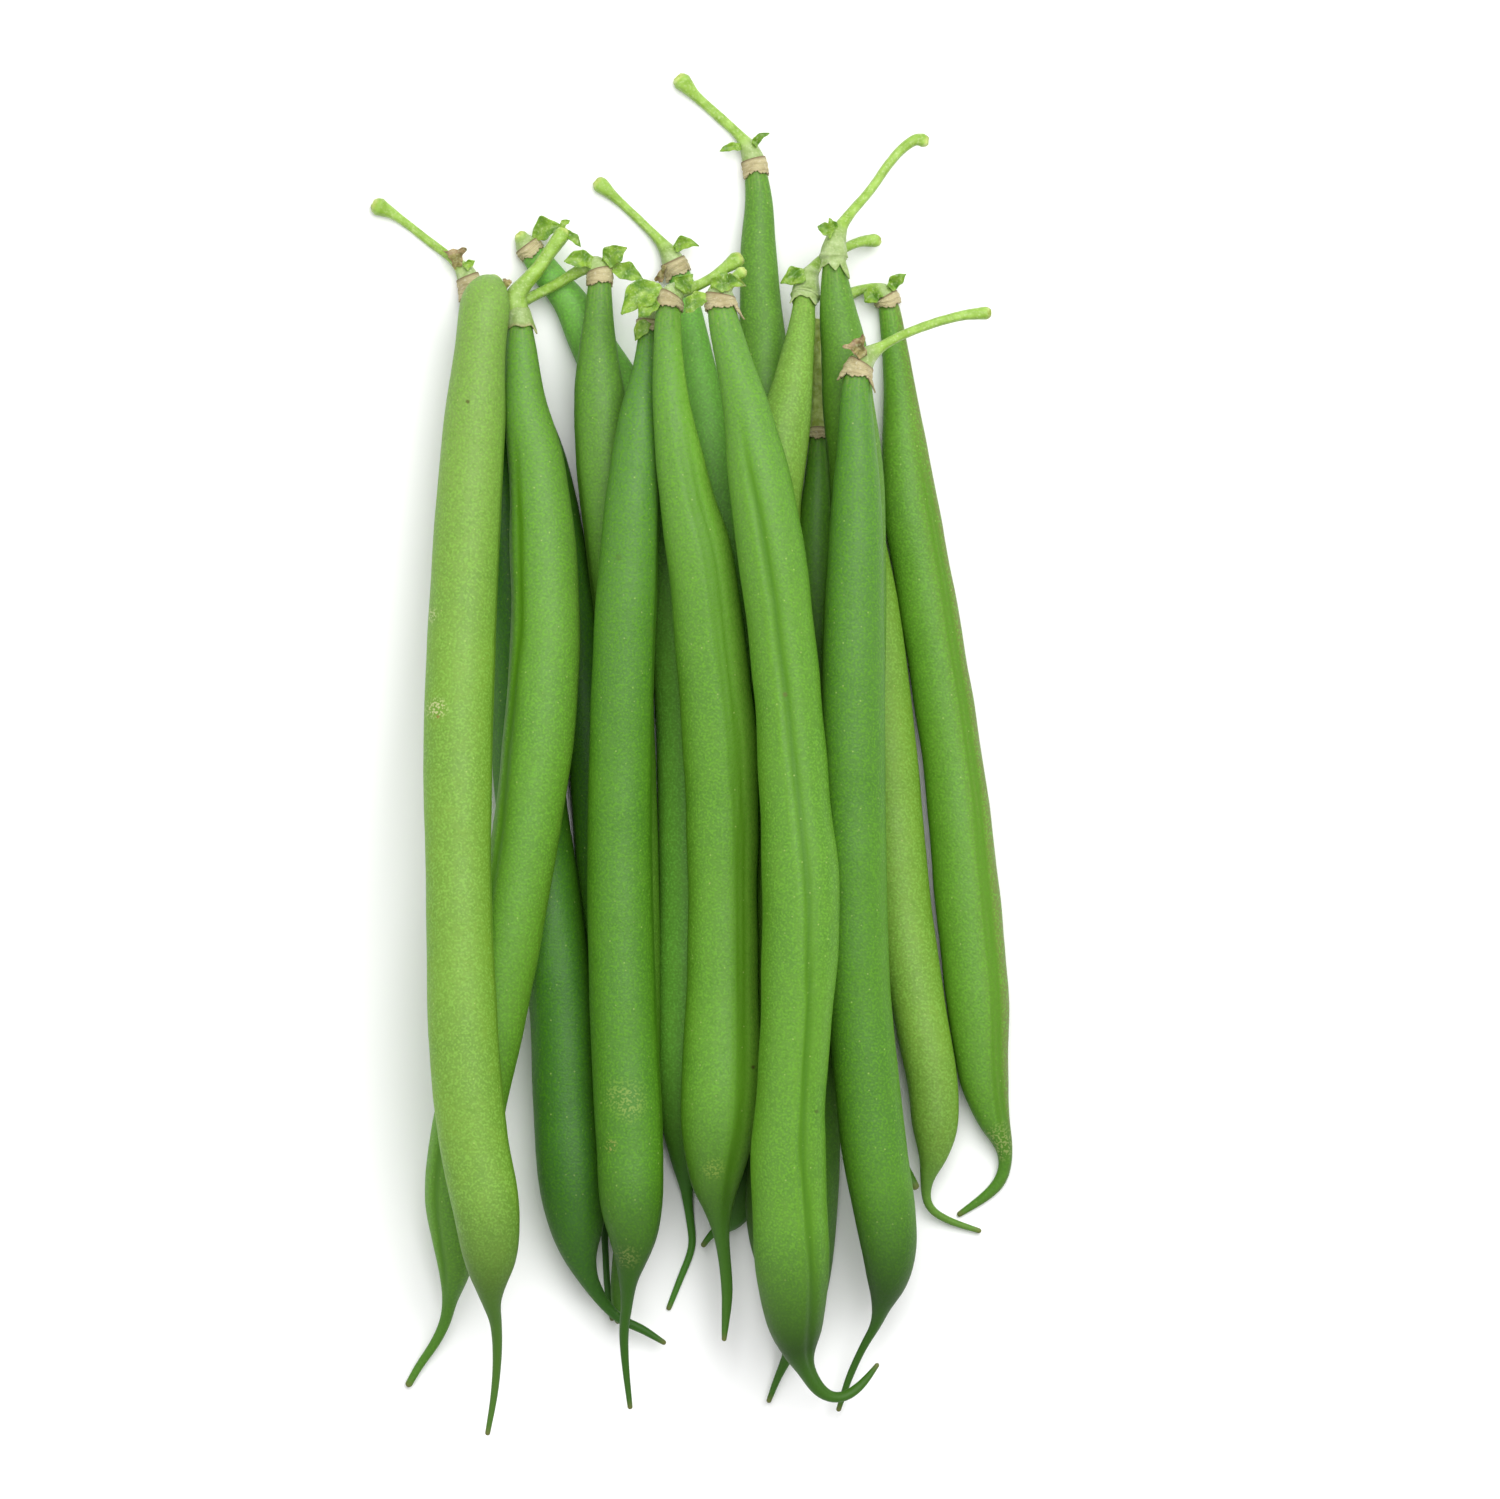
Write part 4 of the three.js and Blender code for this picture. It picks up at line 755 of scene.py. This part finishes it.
def shell(name, outer, inner, material, carried, closed):
    """A thin skin between two grids of points: closed round a stalk, or open like a leaf."""
    rows, columns = outer.shape[:2]
    front = np.arange(rows * columns).reshape(rows, columns)
    back = front + rows * columns
    here = np.arange(columns if closed else columns - 1)
    nxt = (here + 1) % columns
    faces = []
    for j in range(rows - 1):
        faces += zip(front[j, here], front[j, nxt], front[j + 1, nxt], front[j + 1, here])
        faces += zip(back[j, here], back[j + 1, here], back[j + 1, nxt], back[j, nxt])
        if not closed:
            for i, (a, b) in ((0, (front, back)), (columns - 1, (back, front))):
                faces.append((a[j, i], a[j + 1, i], b[j + 1, i], b[j, i]))
    faces += zip(front[0, nxt], front[0, here], back[0, here], back[0, nxt])
    faces += zip(front[-1, here], front[-1, nxt], back[-1, nxt], back[-1, here])
    mesh = bpy.data.meshes.new(name)
    points = np.concatenate([outer.reshape(-1, 3), inner.reshape(-1, 3)])
    mesh.from_pydata(points.tolist(), [], [[int(i) for i in face] for face in faces])
    carry(mesh, {key: np.tile(np.broadcast_to(value, (rows, columns)).reshape(-1), 2)
                 for key, value in carried.items()})
    outwards = bmesh.new()
    outwards.from_mesh(mesh)
    bmesh.ops.recalc_face_normals(outwards, faces=outwards.faces)
    outwards.to_mesh(mesh)
    outwards.free()
    mesh.shade_smooth()
    mesh.materials.append(material)
    return placed(name, mesh)


def ring_paper():
    """Dried flower tissue: matte cream paper in fine parallel creases, brown along its fringes."""
    material, tree, shader = new_material("dried flower ring")
    place = add(tree, "ShaderNodeTexCoord", out="Object")
    blotches, fibres = (
        add(tree, "ShaderNodeTexNoise", {"Vector": place, "Scale": 1 / (size * MM), "Detail": 3.0})
        for size in (1.6, 0.4))
    down, edge = (add(tree, "ShaderNodeAttribute", out="Fac", attribute_name=key)
                  for key in ("down", "edge"))
    creases = add(tree, "ShaderNodeMath", (down, 2.4, blotches), operation="MULTIPLY_ADD")
    creases = add(tree, "ShaderNodeTexNoise", {"Vector": creases, "Scale": 1.7, "Detail": 3.0})
    colour = layered(tree, linear("bdb389"), [
        (blotches, 0.4, 0.7, 0.7, linear("94875a")), (creases, 0.5, 0.66, 0.65, linear("77613a")),
        (fibres, 0.55, 0.75, 0.45, linear("e2dcc0")), (edge, 0.2, 1.0, 0.8, linear("5f4a2c"))])
    height = add(tree, "ShaderNodeMath", (fibres, 0.4, creases), operation="MULTIPLY_ADD")
    bump = add(tree, "ShaderNodeBump", {"Strength": 0.6, "Distance": 0.15 * MM, "Height": height})
    fill(tree, shader, {"Base Color": colour, "Normal": bump, "Roughness": 0.82})
    return material


paper = ring_paper()
turns = np.linspace(0, 2 * math.pi, RING_COLUMNS, endpoint=False)
down = np.linspace(0, 1, RING_ROWS)[:, None]


def band(name, bean, lengths, stand_off, thickness, material, carried):
    """A thin band round a bean, at lengths from the rim and standing off its surface."""
    wide = np.broadcast_to(turns, lengths.shape)
    faces = (round_about(bean, lengths, wide, off) for off in (stand_off, stand_off - thickness))
    return shell(name, *faces, material, carried, closed=True)


def degrees_off(turn):
    """How far round each column of a ring is from a turn."""
    return np.degrees(np.abs((turns - turn + math.pi) % (2 * math.pi) - math.pi))


for name, (length, flaps) in RINGS.items():
    draws = np.random.default_rng(int(name))
    phases = draws.uniform(0, 2 * math.pi, len(FRINGE) + 2)
    ragged = sum(size * np.sin(count * turns + phase) for (size, count), phase in zip(FRINGE, phases))
    ends = length + ragged
    flared = RING_FLARE + RING_FLARE * np.sin(3 * turns + phases[-1])
    for turn, half, extra, off in flaps:
        hill = np.exp(-(degrees_off(math.radians(turn)) / half) ** 2 * FLAP_SHARPNESS)
        ends, flared = ends + extra * hill, flared + off * hill
    lengths = (-RING_OVERLAP + (ends + RING_OVERLAP) * down) * MM
    crease = CREASE_DEPTH * np.sin(down * 19 + 1.1 * np.sin(turns * 2 + phases[-2]))
    off = (RING_STAND_OFF + crease * np.sin(math.pi * down) + flared * down**1.6) * MM
    edge = np.maximum(1 - down * 4, (down - 0.88) * 5).clip(0, 1)
    piece = band(f"dry_ring_{name}", beans[name], lengths, off, RING_THICKNESS, paper,
                 {"edge": edge, "down": lengths / MM})
    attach(piece, "root")
    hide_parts(f"ring_{name}")


# ---- Stalks ----
# Each bean has a thin ribbed stalk, snapped off at its far end. Next to the pod it swells into
# a pale green cup, whose rim carries small leafy teeth; some teeth have dried and gone brown.
STALK_SPACING = 0.2 * MM
STALK_SIDES = 32
STALK_SOFTNESS = 0.35 * MM
STALK_RIDGES = 5
RIDGE_HEIGHT = 0.035 * MM
STALK_LUMP_SIZE = 1.2 * MM
STALK_LUMP_HEIGHT = 0.08 * MM
LEAF_COLUMNS = 15
LEAF_ROWS = 26
LEAF_THICKNESS = 0.2 * MM
COLLAR_OVERLAP = 0.4  # millimetres that a skirt reaches up over the cup, from the rim
TOOTH_ROOT = 0.6  # millimetres down the neck, where the teeth of a skirt part
LEAF_CLEARANCE = 0.45 * MM  # over the neck and the ring
TORN = 0.9  # a leaf drier than this has lost its tip
FOLD = 0.45  # how steeply a leaf's halves rise from the midrib
CRINKLE = 0.14 * MM  # waves in its halves, and finer ones towards its edges
EDGE_CRINKLE = 0.1 * MM
VEIN_WIDTH = 0.09 * MM
SNAPPED_TURNS = (12, 34, 60)  # degrees round the snapped end of a stalk
SNAPPED_NARROWER = 0.97
LIP_TURNS = (8, 20)  # degrees round the rim of the cup
LIP_WIDTHS = (1.02, 0.86)
CUP_RADIUS = 0.75  # millimetres: where a stalk is thicker, near the rim, it turns into the cup
CUP_FADE = 0.5
CUP_REACH = 4.5  # millimetres from the rim
CUT_LENGTH = 0.6 * MM  # how far the snapped end is pale
GREENER_CUPS = {"03": 0.2}  # how silvery, where a cup stays green
PAINTED_LIGHT_STALKS = {"13": 0.9}  # how pale a whole stalk is painted, as pale as its snapped end: painted light on stalk 13, which lies in shade low between other beans

# leaves: x and y of the base and the tip, half width, height over the stalk, lift, how far dry,
# and bow to the left on the way to the tip; in millimetres
LEAVES = {
    "01": [(-31.9, 63.4, -32.3, 66.1, 1.4, 0.3, 1.0, 1.0, 0.0),
           (-31.1, 63.3, -29.7, 64.6, 0.6, 0.2, 0.8, 0.2, 0.2)],
    "03": [(-18.0, 68.4, -15.7, 66.3, 0.6, 0.2, 0.5, 0.1, 0.3),
           (-18.3, 68.7, -17.1, 69.8, 0.5, 0.2, 0.6, 0.3, 0.3),
           (-25.6, 60.7, -25.3, 62.0, 0.7, 0.9, 0.6, 1.0, 0.0)],
    "05": [(-22.0, 67.4, -18.0, 69.0, 1.35, 0.3, 1.6, 0.1, 0.9)],
    "06": [(-13.7, 64.1, -17.9, 64.4, 1.2, 0.2, 1.2, 0.1, -0.5),
           (-12.7, 63.7, -9.6, 66.2, 1.3, 0.4, 1.4, 0.4, 0.4),
           (-11.9, 63.6, -7.5, 62.0, 1.15, 0.2, 1.0, 0.1, 0.3)],
    "07": [(-6.4, 56.7, -8.5, 53.8, 0.9, 0.2, 0.6, 0.2, -0.3)],
    "08": [(-5.0, 60.9, -10.3, 57.2, 1.75, 0.4, 1.2, 0.1, -0.8),
           (-5.3, 59.4, -8.0, 56.9, 1.3, 0.6, 1.4, 0.1, -0.3),
           (-2.7, 59.9, -0.9, 62.5, 1.2, 0.6, 1.4, 0.1, 0.3)],
    "09": [(-3.7, 65.9, -0.1, 66.5, 0.85, 0.3, 1.2, 0.2, 0.8),
           (-4.5, 64.3, -5.5, 61.8, 0.6, 0.1, 0.8, 1.0, 0.0)],
    "10": [(1.0, 59.6, -1.8, 57.3, 1.15, 0.5, 1.4, 0.4, -0.5),
           (2.6, 60.3, 6.1, 60.8, 0.95, 0.5, 1.8, 0.7, 0.9),
           (2.0, 60.0, 3.6, 62.6, 1.1, 0.5, 1.6, 0.1, 0.2)],
    "11": [(5.6, 79.6, 2.6, 79.0, 0.6, 0.3, 0.8, 0.1, -0.3),
           (7.0, 79.4, 9.2, 81.4, 0.55, 0.3, 1.6, 0.2, 0.5)],
    "12": [(14.4, 62.5, 10.6, 61.4, 1.15, 0.5, 1.2, 0.1, -0.5)],
    "14": [(17.8, 67.8, 15.5, 68.9, 1.0, 0.3, 0.9, 0.2, -0.2),
           (18.0, 68.3, 17.0, 70.0, 0.6, 0.4, 0.8, 0.2, 0.1)],
    "15": [(21.7, 51.2, 20.2, 53.8, 1.5, 0.3, 1.0, 1.0, 0.0)],
    "17": [(24.1, 60.7, 21.7, 59.1, 1.2, 0.5, 1.0, 0.1, -0.3),
           (24.8, 60.5, 27.2, 62.8, 0.85, 0.3, 1.2, 0.2, 0.3)],
}
# the skirt of a cup that has no dry ring: how far dry, its length, and its teeth, which lie down
# over the neck: tip, half width in degrees, stand-off; in millimetres
SKIRTS = {
    "03": (0.3, 2.4, [(-23.6, 55.6, 36, 0.3), (-22.0, 54.7, 30, 0.5), (-25.2, 55.8, 30, 0.3)]),
    "12": (0.0, 1.1, [(12.3, 58.3, 32, 0.4), (14.7, 57.7, 34, 0.5)]),
    "14": (0.0, 1.3, [(15.9, 62.8, 26, 0.4), (17.8, 63.0, 34, 0.5), (19.2, 61.7, 28, 0.5)]),
}


def stalk_tissue():
    """Fresh stalk: bright waxy green, silvery where it swells into the cup, straw where it dries."""
    material, tree, shader = new_material("green bean stalk")
    place = add(tree, "ShaderNodeTexCoord", out="Object")
    blotches, fine = (
        add(tree, "ShaderNodeTexNoise", {"Vector": place, "Scale": 1 / (size * MM), "Detail": 3.0})
        for size in (1.3, 0.35))

    def blotched(deep, pale):
        return layered(tree, linear(deep), [(blotches, 0.35, 0.65, 1.0, linear(pale))])

    # attribute, from where to where, how strongly, and the two colours that it brings
    colour = layered(tree, blotched("7fa52e", "98bd4e"), [
        (add(tree, "ShaderNodeAttribute", out="Fac", attribute_name=key), low, high, strength,
         blotched(deep, pale))
        for key, low, high, strength, deep, pale in (
            ("cup", 0.0, 1.0, 0.9, "839c52", "a8bb82"), ("leaf", 0.0, 1.0, 0.95, "517d18", "86aa2e"),
            ("vein", 0.0, 1.0, 0.6, "45701c", "a3bb60"), ("dry", 0.15, 0.9, 1.0, "5f4728", "ab9566"),
            ("cut", 0.3, 0.9, 0.8, "8a9a30", "c8d67c"))])
    # fine hairs catch the light
    colour = layered(tree, colour, [(fine, 0.52, 0.75, 0.3, linear("dfe8b8"))])
    height = add(tree, "ShaderNodeMath", (fine, 0.5, blotches), operation="MULTIPLY_ADD")
    bump = add(tree, "ShaderNodeBump", {"Strength": 0.6, "Distance": 0.12 * MM, "Height": height})
    fill(tree, shader, {
        "Base Color": colour, "Normal": bump, "Roughness": 0.5, "Subsurface Weight": 0.1,
        "Subsurface Radius": (0.6, 1.0, 0.25), "Subsurface Scale": 0.6 * MM})
    return material


tissue = stalk_tissue()


def leaf(name, bean, x0, y0, x1, y1, half_width, over, lift, dry, bow):
    """One tooth of the cup that has grown into a small leaf: folded at the midrib and crinkled."""
    phases = np.random.default_rng(int(abs(x0 * 70 + y1 * 90))).uniform(0, 2 * math.pi, 5)
    v = np.linspace(0, 1, LEAF_ROWS)[:, None]
    u = np.linspace(-1, 1, LEAF_COLUMNS)
    base, tip = (np.array(p) * MM + shift for p in ((x0, y0), (x1, y1)))
    along = (tip - base) / np.linalg.norm(tip - base)
    side = np.array([-along[1], along[0]])
    # a fresh leaf is oval and pointed, a dried one is torn off at its widest
    oval = np.maximum(np.sin(math.pi * (0.06 + 0.94 * v) ** 0.85), 0.05) ** 0.8
    width = half_width * MM * (0.25 + 0.75 * v if dry > TORN else oval)
    width = width * (1 + 0.12 * np.sin(8 * v + phases[0]) + 0.1 * np.sin(15 * v + 2 * u + phases[1]))
    torn = 0.08 * np.sin(7 * u + phases[2]) * np.maximum(v - 0.5, 0) * (dry > TORN)
    flat = base + (tip - base) * (v + torn)[..., None] \
        + side * (width * u + bow * MM * np.sin(math.pi * v))[..., None]
    stem = bean["course"][:bean["rim"] + 1]
    base_z = stem[np.argmin(((stem[:, :2] - base) ** 2).sum(axis=1)), 2] + over * MM
    z = base_z + lift * MM * np.sin(2.0 * v) + FOLD * width * np.abs(u) ** 1.4
    z = z + CRINKLE * np.sin(11 * v + 2 * u + phases[3]) * np.abs(u) \
        + EDGE_CRINKLE * np.sin(19 * v - 3 * u + phases[4]) * u**2
    # it lies over the neck and the ring where these are higher
    under = bean["course"][bean["rim"] - FINE_STEPS:bean["neck"] + 2 * FINE_STEPS:2]
    reach = under[:, 3] + LEAF_CLEARANCE
    apart = ((flat[..., None, :] - under[:, :2]) ** 2).sum(axis=-1)
    top = under[:, 2] + np.sqrt(np.maximum(reach**2 - apart, 0)) - 1.0 * (apart >= reach**2)
    z = np.where(v > 0.15, np.maximum(z, top.max(axis=-1)), z)
    grid = np.concatenate([flat, z[..., None]], axis=-1)
    half = np.zeros_like(grid)
    half[..., 2] = LEAF_THICKNESS * (0.5 - 0.3 * np.abs(u) ** 3)
    veins = np.exp(-(u * width / VEIN_WIDTH) ** 2) + 0.6 * np.maximum(
        0, np.sin(14 * v - 5 * np.abs(u) + phases[0])) ** 4 * np.abs(u) ** 0.5
    edge = np.clip((np.abs(u) - 0.75) * 3, 0, 1) + np.clip((v - 0.75) * 3, 0, 1)
    return shell(name, grid + half, grid - half, tissue,
                 {"cup": 0.0, "cut": 0.0, "leaf": np.clip(v * 3, 0, 1),
                  "vein": np.clip(veins, 0, 1) * (1 - v**2),
                  "dry": np.clip(dry * (0.75 + edge) if dry > TORN else dry * edge, 0, 1)},
                 closed=False)


def skirt(name, bean, dry, reach, tips):
    """The lower edge of a cup without a dry ring: a thin collar that ends in pointed teeth."""
    length, rows = framed(bean["course"], bean["rim"])
    ends = reach + 0.15 * np.sin(5 * turns + 1)
    off = np.zeros(RING_COLUMNS)
    for x, y, half, lift in tips:
        tip = np.array([x, y]) * MM + shift
        station = np.argmin(((rows[:, :2] - tip) ** 2).sum(axis=1))
        beside = (tip - rows[station, :2]) @ rows[station, 4:6] / rows[station, 3]
        turn = math.acos(np.clip(beside, -0.98, 0.98))
        tooth = np.clip(1 - degrees_off(turn) / half, 0, 1)
        ends = np.maximum(ends, TOOTH_ROOT + (length[station] / MM - TOOTH_ROOT) * tooth**0.8)
        off = np.maximum(off, lift * tooth)
    lengths = (-COLLAR_OVERLAP + (ends + COLLAR_OVERLAP) * down) * MM
    stand = (0.26 * np.minimum(down / 0.35, 1) ** 0.7 - 0.1 + 0.06 * down + off * down**1.7) * MM
    return band(name, bean, lengths, stand, LEAF_THICKNESS, tissue,
                {"cup": 1.0, "cut": 0.0, "leaf": 0.0, "vein": 0.0,
                 "dry": np.clip(dry * down**0.5 + (down - 0.85) * 2, 0, 1)})


for name, bean in beans.items():
    rim = bean["rim"]
    stalk = resampled(bean["course"][:rim + 1], STALK_SPACING, STALK_SOFTNESS)
    snapped = rounded_end(stalk[::-1], SNAPPED_TURNS, SNAPPED_NARROWER)[::-1]
    lip = rounded_end(stalk, LIP_TURNS)
    lip[:, 3] *= LIP_WIDTHS
    stalk = np.vstack([snapped, stalk, lip])
    length = lengths_along(stalk)
    to_rim = (length[-1] - length) / MM
    cup = np.clip((stalk[:, 3] / MM - CUP_RADIUS) / CUP_FADE, 0, 1) * (to_rim < CUP_REACH)
    cup *= GREENER_CUPS.get(name, 1.0)
    cut = np.clip(1.4 - length / CUT_LENGTH, 0, 1)
    piece = grown(
        f"stalk_piece_{name}", stalk,
        # painted light: stalk 13 pale all along, where it lies in shade
        {"cup": cup, "cut": np.maximum(cut, PAINTED_LIGHT_STALKS.get(name, 0.0)), "leaf": 0.0,
         "vein": 0.0, "dry": 0.0, "lumps": 0.6 + 2.0 * cut},
        {"Material": tissue, "Sides": STALK_SIDES, "Height over width": 1.0,
         "Ridges": float(STALK_RIDGES), "Ridge height": RIDGE_HEIGHT,
         "Lump size": STALK_LUMP_SIZE, "Lump height": STALK_LUMP_HEIGHT})
    parts = [leaf(f"leaf_{name}_{i}", bean, *given) for i, given in enumerate(LEAVES.get(name, []))]
    if name in SKIRTS:
        parts.append(skirt(f"skirt_{name}", bean, *SKIRTS[name]))
    if parts:
        with bpy.context.temp_override(active_object=piece,
                                       selected_editable_objects=[piece] + parts):
            bpy.ops.object.join()
    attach(piece, "root")
    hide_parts(f"stalk_{name}")


# ---- Floor and light ----
# A sheet of white card under a wide soft light overhead, a little nearer to the stalks, with a
# weaker one from the lower left and an even white room round it.
FLOOR_HALF = 3.0
ROOM_STRENGTH = 0.5

sheet = bpy.data.meshes.new("floor")
corners = [(x * FLOOR_HALF, y * FLOOR_HALF, 0) for x, y in ((-1, -1), (1, -1), (1, 1), (-1, 1))]
sheet.from_pydata(corners, [], [(0, 1, 2, 3)])
card, tree, shader = new_material("white card")
fill(tree, shader, {"Base Color": linear("fdfdfd"), "Roughness": 0.9})
sheet.materials.append(card)
floor = placed("floor", sheet)

# width and place in metres, power in watts
for name, size, place, power in (
    ("overhead", 1.3, (0.26, 0.5, 1.15), 19.3),
    ("side fill", 1.4, (-1.2, -0.5, 1.0), 3.6),
):
    light = bpy.data.lights.new(name, "AREA")
    light.shape, light.size, light.energy = "DISK", size, power
    lamp = placed(name, light)
    lamp.location = place
    lamp.rotation_euler = (-Vector(place)).to_track_quat("-Z", "Y").to_euler()
    lamp.visible_camera = False

world = bpy.data.worlds.new("room")
bpy.context.scene.world = world
world.use_nodes = True
fill(world.node_tree, world.node_tree.nodes["Background"],
     {"Color": linear("ffffff"), "Strength": ROOM_STRENGTH})
bpy.context.scene.view_settings.view_transform = "Standard"
